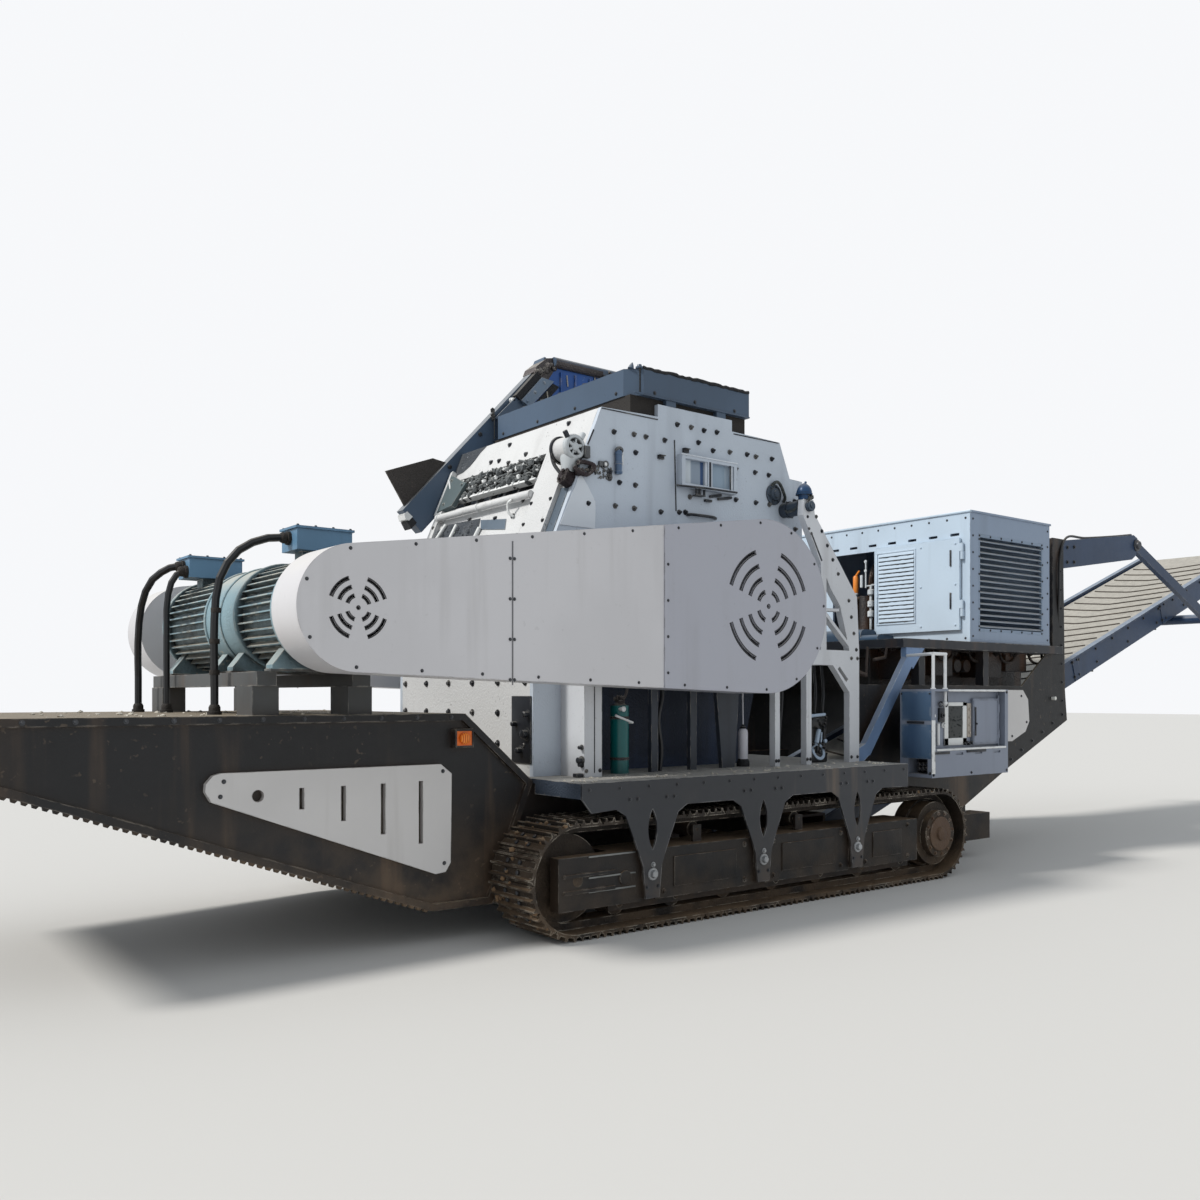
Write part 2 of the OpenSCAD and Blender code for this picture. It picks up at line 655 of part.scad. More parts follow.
// A tube swept along a route
function route_dir(p, i) = unit(i == 0 ? p[1] - p[0] : i == len(p) - 1 ? p[i] - p[i - 1]
  : unit(p[i] - p[i - 1]) + unit(p[i + 1] - p[i]));
module sweep_tube(p, r, n) {
  rings = [for (i = [0:len(p) - 1])
    let(d = route_dir(p, i), u = unit(cross(d, [0, 1, 0.01])), v = cross(d, u))
    [for (k = [0:n - 1]) p[i] + r * (u * cos(k * 360 / n) + v * sin(k * 360 / n))]];
  polyhedron(points = [for (ring = rings, q = ring) q],
    faces = concat([[for (k = [n - 1:-1:0]) k]],
      [for (i = [0:len(p) - 2], k = [0:n - 1])
        [i * n + k, i * n + (k + 1) % n, (i + 1) * n + (k + 1) % n, (i + 1) * n + k]],
      [[for (k = [0:n - 1]) (len(p) - 1) * n + k]]));
}
near_cable = [[-6000, -680, 2600], [-6060, -680, 2600], [-6140, -680, 2590], [-6235, -675, 2555],
  [-6320, -670, 2500], [-6385, -660, 2420], [-6430, -650, 2320], [-6450, -640, 2200],
  [-6455, -630, 2070], [-6455, -620, 1930], [-6450, -610, 1790], [-6445, -600, 1640],
  [-6445, -600, 1485]];
far_cable = [[-6290, 520, 2510], [-6340, 520, 2510], [-6380, 545, 2500], [-6425, 585, 2470],
  [-6470, 640, 2420], [-6500, 700, 2340], [-6515, 750, 2240], [-6520, 790, 2120],
  [-6520, 820, 1980], [-6515, 840, 1860], [-6510, 850, 1740], [-6510, 850, 1600],
  [-6510, 850, 1485]];
inner_cable = [[-6290, 450, 2470], [-6325, 450, 2470], [-6360, 455, 2445], [-6392, 465, 2390],
  [-6410, 475, 2310], [-6420, 480, 2200], [-6420, 480, 2080], [-6420, 480, 1960],
  [-6420, 480, 1840], [-6420, 480, 1660], [-6420, 480, 1485]];
module motor_cables() color("#15171a") {
  sweep_tube(near_cable, cable_r, 8);
  sweep_tube(far_cable, cable_r, 8);
  sweep_tube(inner_cable, cable_r - 3, 8);
}

guard_a = [motor_x, motor_z];
guard_b = [guard_bx, guard_bz];
module guard_shape(cut) {
  translate(guard_a) circle(guard_ra - cut);
  translate(guard_b) circle(guard_rb - cut);
  polygon(tangent_quad(guard_a, guard_ra - cut, guard_b, guard_rb - cut));
}
// Rings of curved vent slots, each ring cut in four between the diagonals
module vent(radii, w) {
  circle(w / 2 + 2);
  for (r = radii, q = [0:3]) rotate(q * 90) intersection() {
    difference() { circle(r + w / 2); circle(r - w / 2); }
    polygon([[0, 0], 2 * r * [cos(19), sin(19)], 2 * r * [1, 1], 2 * r * [cos(71), sin(71)]]);
  }
}
module belt_guard() color("#b4b4b8") difference() {
  union() {
    for (x = [-3950, -2130]) block(x, x + 90, -guard_y0, -support_y, girder_z0, girder_z1);
    plate(half_w - guard_step, guard_d - guard_step) guard_shape(0);
    plate(half_w, guard_step) intersection() {
      guard_shape(0);
      translate([guard_seam_x, guard_bz - guard_rb]) square(2 * guard_rb + 1000);
    }
  }
  plate(half_w - guard_step - guard_wall, guard_d - guard_step - 2 * guard_wall) guard_shape(guard_wall);
  plate(half_w + 1, guard_step + guard_wall + 2) {
    translate(guard_a) vent([70, 121, 172], vent_slot_a);
    translate(guard_b) vent([110, 210, 310, 415], vent_slot_b);
  }
}

crusher_rim_z = crusher_top_z + 110;
crusher_back_x = -1824;
roof_t = 20;
// Ends of the raised lip of the side plate under the collar
lip_x0 = -3187;
lip_x1 = -2388;
// The side plate's outline in X and Z
module crusher_outline() polygon([[crusher_x0, deck_z], [crusher_x0 + 350, deck_z],
  [crusher_x0 + 350, crusher_low_z], [crusher_x1 - 100, crusher_low_z],
  [crusher_x1, crusher_low_z + 200], [crusher_x1, 3450], [crusher_x1 - 156, 3457],
  [crusher_back_x, crusher_top_z + 9], [lip_x1, crusher_top_z + 20], [lip_x1, crusher_rim_z],
  [lip_x0, crusher_rim_z], [lip_x0, crusher_top_z + 14], [crusher_top_x, crusher_top_z],
  [crusher_x0, lean_z]]);
module crusher_side() color("#e4e4e6") {
  plate(crusher_y, crusher_t) crusher_outline();
  plate(crusher_y + window_d, window_d) difference() {
    translate([window_x0, window_z0]) square([window_w, window_h]);
    for (x = [0.06, 0.54]) translate([window_x0 + x * window_w, window_z0 + 30])
      square([0.4 * window_w, window_h - 60]);
  }
}
// Where the leaning feed wall ends inside at the top
lean_in_x = crusher_top_x + crusher_t * 1.09;
// A wall between the side plates, drawn in X and Z
module cross_wall() plate(inner_y, 2 * inner_y) children();
module crusher_front() color("#f2f2f2") difference() {
  cross_wall() polygon([[crusher_x0, deck_z], [crusher_x0 + crusher_t, deck_z],
    [crusher_x0 + crusher_t, lean_z - 8], [lean_in_x, crusher_top_z],
    [crusher_top_x, crusher_top_z], [crusher_x0, lean_z]]);
  on_lean() block(-1, crusher_t + 5, 510 - inner_y, inner_y - 100, link_u0, link_u1);
}
module crusher_rear() color("#d8d8da") cross_wall() {
  polygon([[crusher_x1 - crusher_t, crusher_low_z + 120], [crusher_x1, crusher_low_z + 200],
    [crusher_x1, 3450], [crusher_x1 - 156, 3457], [crusher_back_x, crusher_top_z + 9],
    [crusher_back_x - crusher_t, crusher_top_z + 9], [crusher_x1 - 185, 3415],
    [crusher_x1 - crusher_t, 3408]]);
}
curtain_x0 = collar_x0 + 10;
curtain_x1 = collar_x1 - 10;
curtain_t = 20;
throat_x0 = curtain_x0 + collar_t - curtain_t;
throat_x1 = curtain_x1 - collar_t + curtain_t;
// The plates that close the housing's top before and behind the feed opening
module crusher_roof() color("#d8d8da") cross_wall() {
  translate([lean_in_x, crusher_top_z - roof_t]) square([throat_x0 - lean_in_x, roof_t]);
  translate([throat_x1, crusher_top_z + 9 - roof_t])
    square([crusher_back_x - crusher_t - throat_x1, roof_t]);
}
// The rubber curtain between the housing and the top collar
module feed_curtain() color("#2b2b2c") difference() {
  block(curtain_x0, curtain_x1, -inner_y, inner_y, crusher_top_z + 9, collar_z0);
  block(curtain_x0 + curtain_t, curtain_x1 - curtain_t, curtain_t - inner_y, inner_y - curtain_t,
    crusher_top_z, collar_z0 + 1);
}
jaw_mid = -2890;
jaw_teeth = 18;
jaw_y = inner_y - hair;
jaw_pitch = 2 * jaw_y / jaw_teeth;
jaw_len = 1200;
// A jaw plate with its upright teeth, from its foot up: it reaches from side plate to side plate
module jaw_plate() translate([0, -jaw_y]) linear_extrude(jaw_len)
  polygon(concat([[-60, 2 * jaw_y], [-60, 0]],
    [for (i = [0:jaw_teeth - 1], p = [[0, 0], [0.25, 35], [0.5, 35], [0.75, 0]])
      [p[1], (i + p[0]) * jaw_pitch]], [[0, 2 * jaw_y]]));
module jaw_plates() color("#6d6a66") {
  translate([jaw_mid - 170, 0, lean_z]) rotate([0, -12, 0]) jaw_plate();
  translate([jaw_mid + 170, 0, lean_z]) rotate([0, 20, 0]) mirror([1, 0, 0]) jaw_plate();
}
chute_x0 = crusher_x0 + 400;
chute_x1 = crusher_x1 - 500;
chute_y = crusher_y - 240;
chute_top = crusher_low_z + 300;
module chute_outline(cut) polygon([[chute_x0 + cut, deck_z], [chute_x1 - cut, deck_z],
  [chute_x1 + 250 - cut, chute_top], [chute_x0 + cut, chute_top]]);
module discharge_chute() color("#33363c") {
  plate(chute_y, 2 * chute_y) difference() {
    chute_outline(0);
    chute_outline(crusher_t);
  }
  on_both_sides() plate(chute_y, crusher_t) chute_outline(0);
}

// Places on the leaning feed face: x out from the face, z up along it from the lean's foot
lean_angle = atan(lean);
module on_lean() translate([crusher_x0, 0, lean_z]) rotate([0, lean_angle, 0]) children();
post_t = 40;
post_u0 = 300;
post_u1 = 1250;
post_y = 410 - inner_y;
post_tube_r = 28;
boss_u = 1150;
boss_r = 88;
boss_out = 98;
module front_posts() color("#e8e8ea") on_lean() {
  block(-post_t, 0, 100 - inner_y, post_y, post_u0, post_u1);
  block(-post_t, 0, inner_y - 80, inner_y, post_u0, post_u1);
  cross_bar(-post_t - 15, 860, post_tube_r, post_y, inner_y - 80);
  for (y = [post_y, inner_y - 120]) block(-post_t - 15, 0, y, y + 40, 840, 880);
  cross_bar(-boss_out, boss_u, boss_r, 10 - crusher_y, 140 - inner_y);
  block(-boss_out, 0, 45 - crusher_y, 100 - inner_y, boss_u - 60, boss_u + 60);
}
// The linkage in the opening of the feed face
link_u0 = 955;
link_u1 = 1265;
module front_linkage() color("#77746e") on_lean() {
  cross_bar(90, 1170, 45, -inner_y, inner_y);
  for (y = [580 - inner_y:210:inner_y - 260]) block(42, 90, y, y + 28, link_u0 - 30, link_u1 + 30);
}
rear_pin = [-1775, 3175];
module hinge_bosses() color("#4c5866") on_both_sides() {
  cross_bar(rear_pin[0], rear_pin[1], 62, -support_y0, -crusher_y);
  cross_bar(rear_pin[0], rear_pin[1], 44, -support_y - 26, -support_y);
}

module top_collar() color("#5c7289") {
  on_both_sides() for (x = [-3100, -2560])
    block(x, x + 100, -crusher_y, -inner_y, crusher_rim_z, collar_z0);
  translate([0, 0, collar_z0]) linear_extrude(collar_h) difference() {
    polygon([[collar_x0, -crusher_y + 110], [collar_x0 + 110, -crusher_y], [collar_x1, -crusher_y],
      [collar_x1, crusher_y], [collar_x0 + 110, crusher_y], [collar_x0, crusher_y - 110]]);
    translate([collar_x0 + collar_t, -crusher_y + collar_t])
      square([collar_x1 - collar_x0 - 2 * collar_t, 2 * (crusher_y - collar_t)]);
  }
}
// The hood stands on the left side only: a leaning beam outside the side plate and a plate on the collar
beam_foot = [-4237, 3099];
beam_head = [-2817, hood_z - 111];
module inlet_hood() color("#5c7289") {
  on_left() {
    plate(crusher_y + 110, 110) bar(beam_foot, beam_head, beam_w);
    plate(crusher_y - 30, hood_t) polygon([[collar_x0 + 10, collar_z0 + collar_h],
      [-2040, collar_z0 + collar_h], [-2040, hood_z], [beam_head[0], hood_z]]);
    plate(crusher_y + 130, 170) bar(beam_head - [75, 60], beam_head + [5, 121], 150);
  }
  translate([beam_head[0] + 20, crusher_y - 60, hood_z]) rotate([0, 90, 0])
    cylinder(r = hood_rail_r, h = 840);
}
beam_dir = unit(beam_head - beam_foot);
// A point on the beam's upper edge, t along it
function beam_edge(t) = beam_foot + beam_dir * t + [-beam_dir[1], beam_dir[0]] * (beam_w / 2 + hair);
module feed_flap() color("#3a352f") on_left() plate(crusher_y + 60, 14)
  polygon([[-4466, 3509], beam_edge(60), beam_edge(650), beam_edge(650) + [-130, 20]]);

frame_x0 = -4109;
column_x0 = -1252;
column_x1 = -1121;
// Side view of a support frame: columns, girder, slotted gusset, leaning post and its brace
module support_profile() {
  for (c = [[frame_x0, -3953], [-2180, -2122], [-1803, -1739], [column_x0, column_x1]])
    translate([c[0], deck_z]) square([c[1] - c[0], girder_z0 - deck_z]);
  translate([frame_x0, girder_z0]) square([column_x1 - frame_x0, girder_h]);
  difference() {
    polygon([[column_x0, girder_z0], [column_x0 - 215, girder_z0], [column_x0, girder_z0 - 230]]);
    bar([column_x0 - 140, girder_z0 - 20], [column_x0 - 30, girder_z0 - 130], 34);
  }
  polygon([[column_x0, girder_z1], [column_x1, girder_z1], [-1150, 2455], [-1700, 3120],
    [-1715, post_top_z], [-1835, post_top_z], [-1845, 3100], [-1605, 2688], [-1500, 2512], [-1373, 2365]]);
  polygon([[-1620, girder_z1], [-1550, girder_z1], [-1550, 2595], [-1605, 2688], [-1620, 2714]]);
  bar([-1590, 2327], [-1385, 2332], 26);
  bar([-1565, 2300], [column_x0 + 20, girder_z1 + 30], 30);
}
module support_frame() color("#d9dcdf") {
  plate(support_y, support_t) support_profile();
  block(frame_x0, frame_x0 + 20, -support_y0, -crusher_y, deck_z, girder_z0);
  for (x = [-4050, -2700, -1700]) block(x, x + 160, -support_y0, -crusher_y, girder_z0, girder_z1);
}
module deck_columns() color("#7d8288") on_both_sides() {
  plate(hull_y + 30, 40) {
    for (x = [-3390, -2995]) translate([x, deck_z]) square([66, girder_z0 - deck_z]);
    polygon([[-2653, deck_z], [-2514, deck_z], [-2453, girder_z0], [-2740, girder_z0]]);
  }
}
module gas_cylinders() {
  color("#008a80") translate([-3648, -hull_y + 30, deck_z]) cylinder(r = 68, h = 500);
  color("#e8e8e8") translate([-2362, -hull_y + 30, deck_z]) cylinder(r = 38, h = 280);
}

open_y0 = door_y0 + door_w + 50;
open_y1 = open_y0 + 560;
module engine_house() color("#b9c4cf") difference() {
  union() {
    difference() {
      block(house_x0, house_x1, -house_y, house_y, house_z0, house_z1);
      block(house_x0 + house_wall, house_x1 - house_wall, house_wall - house_y, house_y - house_wall,
        house_z0 + house_wall, house_z1 - house_wall);
    }
    for (z = [door_z0 + 130, door_z0 + door_h - 210]) hinge_eye(z, 80);
  }
  block(house_x0 - 1, house_x0 + house_wall + 1, door_y0 + 30, door_y0 + door_w - 30,
    door_z0 + 30, door_z0 + door_h - 30);
  block(house_x0 - 1, house_x0 + house_wall + 1, open_y0, open_y1, door_z0 + 50, door_z0 + door_h - 20);
  for (i = [0:7]) block(house_x0 - 1, house_x0 + house_wall + 1, -house_y + 120 + i * 250,
    -house_y + 220 + i * 250, door_z0 + door_h + 30, door_z0 + door_h + 55);
  block(house_x0 + 140, house_x1 - 125, -house_y - 1, house_wall - house_y + 1,
    house_z0 + 110, house_z1 - 200);
}
module hinge_eye(z, h) {
  translate([hinge_x, hinge_y, z]) cylinder(r = pin_r, h = h * 2 + 4);
  translate([hinge_x, hinge_y, z]) cylinder(r = 2 * pin_r, h = h - 2);
  block(hinge_x, house_x0, hinge_y - 2 * pin_r, hinge_y, z, z + h - 2);
}
module engine_door() color("#bcc7d2") difference() {
  union() {
    block(hinge_x - door_t / 2, hinge_x + door_t / 2, door_y0, door_y0 + door_w,
      door_z0, door_z0 + door_h);
    for (z = [door_z0 + 130, door_z0 + door_h - 210]) {
      translate([hinge_x, hinge_y, z + 80]) cylinder(r = 2 * pin_r, h = 80);
      block(hinge_x - door_t / 2, hinge_x, hinge_y, door_y0, z + 80, z + 160);
    }
  }
  for (z = [door_z0 + 130, door_z0 + door_h - 210])
    translate([hinge_x, hinge_y, z + 79]) cylinder(r = pin_r + pin_clear, h = 90);
  for (i = [0:louvre_count - 1]) block(hinge_x - door_t / 2 - 1, hinge_x + door_t / 2 + 1,
    door_y0 + door_w - 470, door_y0 + door_w - 40,
    door_z0 + 130 + i * 0.76 * door_h / louvre_count, door_z0 + 160 + i * 0.76 * door_h / louvre_count);
}
module radiator_grille() color("#aebbc8") {
  x0 = house_x0 + 140;
  x1 = house_x1 - 125;
  z0 = house_z0 + 110;
  z1 = house_z1 - 200;
  plate(house_y, house_wall) difference() {
    translate([x0, z0]) square([x1 - x0, z1 - z0]);
    translate([x0 + 30, z0 + 30]) square([x1 - x0 - 60, z1 - z0 - 60]);
  }
  for (i = [0:slat_count - 1]) translate([x0 + 25, -house_y, z0 + 40 + i * (z1 - z0 - 60) / slat_count])
    rotate([35, 0, 0]) cube([x1 - x0 - 50, 34, 5]);
}
module engine_block() color("#5a5f63") {
  block(house_x0 + 200, house_x1 - 250, -500, 600, house_z0 + house_wall, house_z0 + 560);
  color("#d86a1a") translate([house_x0 + 150, -20, house_z0 + house_wall]) cylinder(r = 45, h = 760);
  color("#e8e8e8") translate([house_x0 + 130, 160, house_z0 + house_wall]) cylinder(r = 70, h = 520);
}
platform_y = house_y + 45;
module engine_platform() color("#2d2f33") {
  block(platform_x0, platform_x1, -platform_y, platform_y, house_z0 - platform_t, house_z0);
  on_both_sides() for (x = [-60, 1000])
    block(x, x + 90, -hull_y, 90 - hull_y, nose_z, house_z0 - platform_t);
}
pump_y0 = hull_y - 100;
pump_y1 = conv_y + 80;
module pump_set() color("#2a2523") on_both_sides() {
  block(platform_x0 + 120, platform_x1 - 30, -pump_y1, 20 - pump_y1, nose_z - 34, house_z0 - platform_t);
  for (p = [[-200, 180, 1760], [300, 620, 1800], [1130, 1480, 1790], [1560, 1950, 1860]])
    block(p[0], p[1], -pump_y0, -pump_y1, p[2], house_z0 - platform_t);
  for (x = [740, 900]) cross_bar(x, 1900, 62, -pump_y0 + 20, -pump_y1);
}
tank_x0 = 380;
tank_x1 = house_x0 - 10;
tank_y0 = door_y0 + door_w + 10;
tank_y1 = 700;
// A length of the tank with its top edges rounded
module tank_shell(h, r, y0, y1)
  translate([tank_x0, y1, house_z0]) rotate([90, 0, 0]) linear_extrude(y1 - y0) {
    square([tank_x1 - tank_x0, h - r]);
    translate([r, 0]) square([tank_x1 - tank_x0 - 2 * r, h]);
    for (x = [r, tank_x1 - tank_x0 - r]) translate([x, h - r]) circle(r);
  }
// The tank before the open doorway; it is lower where the engine door swings over it
module fuel_tank() color("#3c5566") {
  tank_shell(170, 70, tank_y0, tank_y1);
  tank_shell(door_z0 - house_z0 - 18, 40, tank_y0 - 215, tank_y0);
}
brace_y = support_y - 40;
module platform_braces() color("#9aa9b8") on_both_sides() plate(brace_y, 60) {
  bar([-965, 1110], [-300, 1990], 110);
  polygon([[column_x1 + 11, deck_z], [deck_x1, deck_z], [-900, 1100], [-960, 1190],
    [column_x1 + 11, 1130]]);
  polygon([[platform_x0 + 50, house_z0 - platform_t], [platform_x0 + 50, 1960], [-300, 1850],
    [-125, house_z0 - platform_t]]);
}

module control_cabinet() color("#a9b4be") difference() {
  union() {
    block(cab_x0, cab_x1, -half_w, cab_d - half_w, cab_z0, cab_z1);
    for (x = [cab_x0 + 420, cab_x1 - 200]) block(x, x + 80, cab_d - half_w, -hull_y, 1100, 1500);
    translate([cab_hinge_x, cab_hinge_y, cab_door_z0 - 20]) cylinder(r = pin_r, h = cab_door_h + 40);
  }
  difference() {
    block(recess_x0, recess_x1, -half_w - 1, recess_d - half_w, recess_z0, recess_z1);
    translate([cab_hinge_x, cab_hinge_y, cab_door_z0 - 30]) cylinder(r = pin_r, h = cab_door_h + 60);
  }
  block(cab_door_x0 + 25, cab_door_x1 - 25, recess_d - half_w - 1, cab_d - half_w - 20,
    cab_door_z0 + 25, cab_door_z0 + cab_door_h - 25);
  block(cab_x0 - 1, cab_x0 + 150, 45 - half_w, 245 - half_w, cab_z0 + 30, cab_z0 + 162);
  for (x = rail_posts) translate([x, rail_y, recess_z1 - 1])
    cylinder(r = rail_r + 0.3, h = cab_z1 - recess_z1 + 2);
  for (x = [0.3, 0.55, 0.8]) block(cab_x0 + x * cab_l, cab_x0 + x * cab_l + 110, -half_w - 1, 12 - half_w,
    recess_z0 - 60, recess_z0 - 40);
}
module cabinet_door() color("#b6c0c9") difference() {
  union() {
    block(cab_door_x0, cab_door_x1, cab_hinge_y - cab_door_t / 2, cab_hinge_y + cab_door_t / 2,
      cab_door_z0, cab_door_z0 + cab_door_h);
    for (z = [50, cab_door_h - 130]) {
      translate([cab_hinge_x, cab_hinge_y, cab_door_z0 + z]) cylinder(r = 1.6 * pin_r, h = 80);
      block(cab_door_x1, cab_hinge_x, cab_hinge_y - 6, cab_hinge_y + 6,
        cab_door_z0 + z, cab_door_z0 + z + 80);
    }
  }
  translate([cab_hinge_x, cab_hinge_y, cab_door_z0 - 1]) cylinder(r = pin_r + pin_clear, h = cab_door_h + 2);
}
// The handrail's posts go down into the recess and are fixed to its back, and its top rail
// turns back to the platform's brace
rail_posts = [cab_x0 + 63, cab_x0 + 238];
rail_feet = [cab_z0 + 530, cab_z0 + 640];
rail_y = 32 - half_w;
rail_top = cab_z1 + 308;
rail_back = [platform_x0 + 58, -brace_y] - [rail_posts[0], rail_y];
module handrail() color("#e6e8ea") {
  for (i = [0, 1]) {
    translate([rail_posts[i], rail_y, rail_feet[i] - rail_r])
      cylinder(r = rail_r, h = rail_top + rail_r - rail_feet[i]);
    cross_bar(rail_posts[i], rail_feet[i], rail_r, rail_y, recess_d - half_w);
  }
  translate([rail_posts[0], rail_y, rail_top]) rotate([0, 90, 0])
    cylinder(r = rail_r, h = rail_posts[1] - rail_posts[0] + rail_r);
  difference() {
    translate([rail_posts[0], rail_y, rail_top]) rotate([0, 90, atan2(rail_back[1], rail_back[0])])
      cylinder(r = rail_r, h = norm(rail_back) + 40);
    block(cab_x0, cab_x1, -brace_y, 0, rail_top - 2 * rail_r, rail_top + 2 * rail_r);
  }
}

track();  // track_right
on_left() track();  // track_left
on_both_sides() track_frame();  // track_frames
on_both_sides() idler_wheel();  // idler_wheels
on_both_sides() sprocket();  // drive_sprockets
on_both_sides() rollers();  // track_rollers
on_both_sides() skirt();  // side_skirts
deck();
chassis_beams();
cross_members();
on_both_sides() tail_plate();  // tail_plates
on_both_sides() { tail_panel(); nose_panel(); }  // side_panels
tail_deck();
on_both_sides() marker_lamp();  // marker_lamps
on_both_sides() nose_plate();  // nose_plates
rear_bumper();
on_both_sides() conveyor_arm();  // conveyor_arms
conveyor_hanger();
conveyor_frame();
conveyor_belt();
conveyor_drums();
near_motor();  // motor_right
far_motor();  // motor_left
junction_boxes();
motor_base();
motor_cables();
belt_guard();  // belt_guard_right
on_left() belt_guard();  // belt_guard_left
on_both_sides() crusher_side();  // crusher_sides
crusher_front();
crusher_rear();
jaw_plates();
discharge_chute();
crusher_roof();
feed_curtain();
front_posts();
front_linkage();
hinge_bosses();
top_collar();
inlet_hood();
feed_flap();
on_both_sides() support_frame();  // support_frames
deck_columns();
gas_cylinders();
engine_house();
engine_door();
radiator_grille();
engine_block();
engine_platform();
pump_set();
fuel_tank();
platform_braces();
control_cabinet();
cabinet_door();
handrail();
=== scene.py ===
"""Crawler-tracked mobile crushing plant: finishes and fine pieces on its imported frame."""
import math
import random

import bmesh
import bpy
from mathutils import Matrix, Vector


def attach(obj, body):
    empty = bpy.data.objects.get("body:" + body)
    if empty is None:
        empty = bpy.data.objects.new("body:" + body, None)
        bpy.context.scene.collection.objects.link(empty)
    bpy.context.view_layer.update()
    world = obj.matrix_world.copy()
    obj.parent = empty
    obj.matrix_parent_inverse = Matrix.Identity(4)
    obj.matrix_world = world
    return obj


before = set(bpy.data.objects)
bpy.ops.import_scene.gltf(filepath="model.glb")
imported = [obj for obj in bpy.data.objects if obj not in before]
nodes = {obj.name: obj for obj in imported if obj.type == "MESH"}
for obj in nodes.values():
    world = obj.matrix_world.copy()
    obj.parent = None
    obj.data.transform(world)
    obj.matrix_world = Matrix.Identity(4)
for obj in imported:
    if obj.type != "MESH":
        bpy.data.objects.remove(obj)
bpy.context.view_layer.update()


# Studio. A pale level floor under a plain sky, a soft sun from the tail's far side, and the
# camera at the photograph's place: low beside the tail, looking across to the conveyor.
floor_tone = (0.62, 0.61, 0.59, 1)
sky_tone = (0.93, 0.94, 0.96, 1)
floor_mesh = bpy.data.meshes.new("floor")
floor_mesh.from_pydata([(-90, -90, 0), (90, -90, 0), (90, 90, 0), (-90, 90, 0)], [], [(0, 1, 2, 3)])
floor = bpy.data.objects.new("floor", floor_mesh)
bpy.context.collection.objects.link(floor)
floor_finish = bpy.data.materials.new("floor")
floor_finish.use_nodes = True
floor_shader = floor_finish.node_tree.nodes["Principled BSDF"]
floor_shader.inputs["Base Color"].default_value = floor_tone
floor_shader.inputs["Roughness"].default_value = 0.9
floor_mesh.materials.append(floor_finish)

world = bpy.data.worlds.new("sky")
bpy.context.scene.world = world
world.use_nodes = True
sky_nodes = world.node_tree.nodes
sky_links = world.node_tree.links
sky_light = sky_nodes["Background"]
sky_light.inputs["Color"].default_value = (0.90, 0.95, 1.0, 1)
sky_light.inputs["Strength"].default_value = 0.64
sky_seen = sky_nodes.new("ShaderNodeBackground")
sky_seen.inputs["Color"].default_value = sky_tone
rays = sky_nodes.new("ShaderNodeLightPath")
either = sky_nodes.new("ShaderNodeMath")
either.operation = "MAXIMUM"
sky_links.new(rays.outputs["Is Camera Ray"], either.inputs[0])
sky_links.new(rays.outputs["Is Transmission Ray"], either.inputs[1])
sky_mix = sky_nodes.new("ShaderNodeMixShader")
sky_links.new(either.outputs[0], sky_mix.inputs[0])
sky_links.new(sky_light.outputs[0], sky_mix.inputs[1])
sky_links.new(sky_seen.outputs[0], sky_mix.inputs[2])
sky_links.new(sky_mix.outputs[0], sky_nodes["World Output"].inputs["Surface"])

sun_lamp = bpy.data.lights.new("sun", "SUN")
sun_lamp.energy = 2.8
sun_lamp.angle = math.radians(9)
sun_lamp.color = (1.0, 0.97, 0.92)
sun = bpy.data.objects.new("sun", sun_lamp)
sun.rotation_euler = Vector((-0.70, 0.22, 0.72)).to_track_quat("Z", "Y").to_euler()
bpy.context.collection.objects.link(sun)

lens = bpy.data.cameras.new("camera")
lens.lens = 32.4
lens.sensor_width = 36
lens.shift_y = 0.08
lens.clip_end = 400
camera = bpy.data.objects.new("camera", lens)
camera.location = (-8.65, -7.30, 1.60)
camera.rotation_euler = (math.radians(90), 0, math.radians(-37.86))
bpy.context.collection.objects.link(camera)
bpy.context.scene.camera = camera
bpy.context.scene.view_settings.view_transform = "Standard"


# Crawler tracks. Cast steel shoes on a link band, brown with ground dust, worn brighter where
# the grousers scrape; four bolts hold each shoe, and clods of earth lie between the grousers.
class Wire:
    """A socket of a finish. Sums and products on it add Math nodes."""

    def __init__(self, tree, socket):
        self.tree = tree
        self.socket = socket

    def node(self, kind, settings, values, out=0):
        made = self.tree.nodes.new("ShaderNode" + kind)
        for name, value in settings.items():
            setattr(made, name, value)
        for name, value in values.items():
            if isinstance(value, Wire):
                self.tree.links.new(value.socket, made.inputs[name])
            else:
                made.inputs[name].default_value = value
        return Wire(self.tree, made.outputs[out])

    def math(self, kind, first, second):
        return self.node("Math", {"operation": kind}, {0: first, 1: second})

    def __add__(self, other):
        return self.math("ADD", self, other)

    def __sub__(self, other):
        return self.math("SUBTRACT", self, other)

    def __mul__(self, other):
        return self.math("MULTIPLY", self, other)

    def __rsub__(self, other):
        return self.math("SUBTRACT", other, self)

    __radd__ = __add__
    __rmul__ = __mul__

    def step(self, low, high):
        """0 below low and 1 above high, or the other way round where low is the greater."""
        return self.node("MapRange", {"interpolation_type": "SMOOTHSTEP"}, {0: self, 1: low, 2: high})

    def dot(self, other):
        return self.node("VectorMath", {"operation": "DOT_PRODUCT"}, {0: self, 1: other}, 1)

    def noise(self, scale, detail=4.0, stretch=(1, 1, 1)):
        at = self.node("VectorMath", {"operation": "MULTIPLY"}, {0: self, 1: stretch})
        return self.node("TexNoise", {}, {"Vector": at, "Scale": scale, "Detail": detail})

    def blend(self, below, above):
        """One colour laid over another by this amount."""
        return self.node("Mix", {"data_type": "RGBA"}, {0: self, 6: below, 7: above}, 2)


def srgb(red, green, blue):
    """A colour read, as the shader's linear numbers."""
    return tuple(((c / 255 + 0.055) / 1.055) ** 2.4 if c > 10 else c / 3300 for c in (red, green, blue)) + (1,)


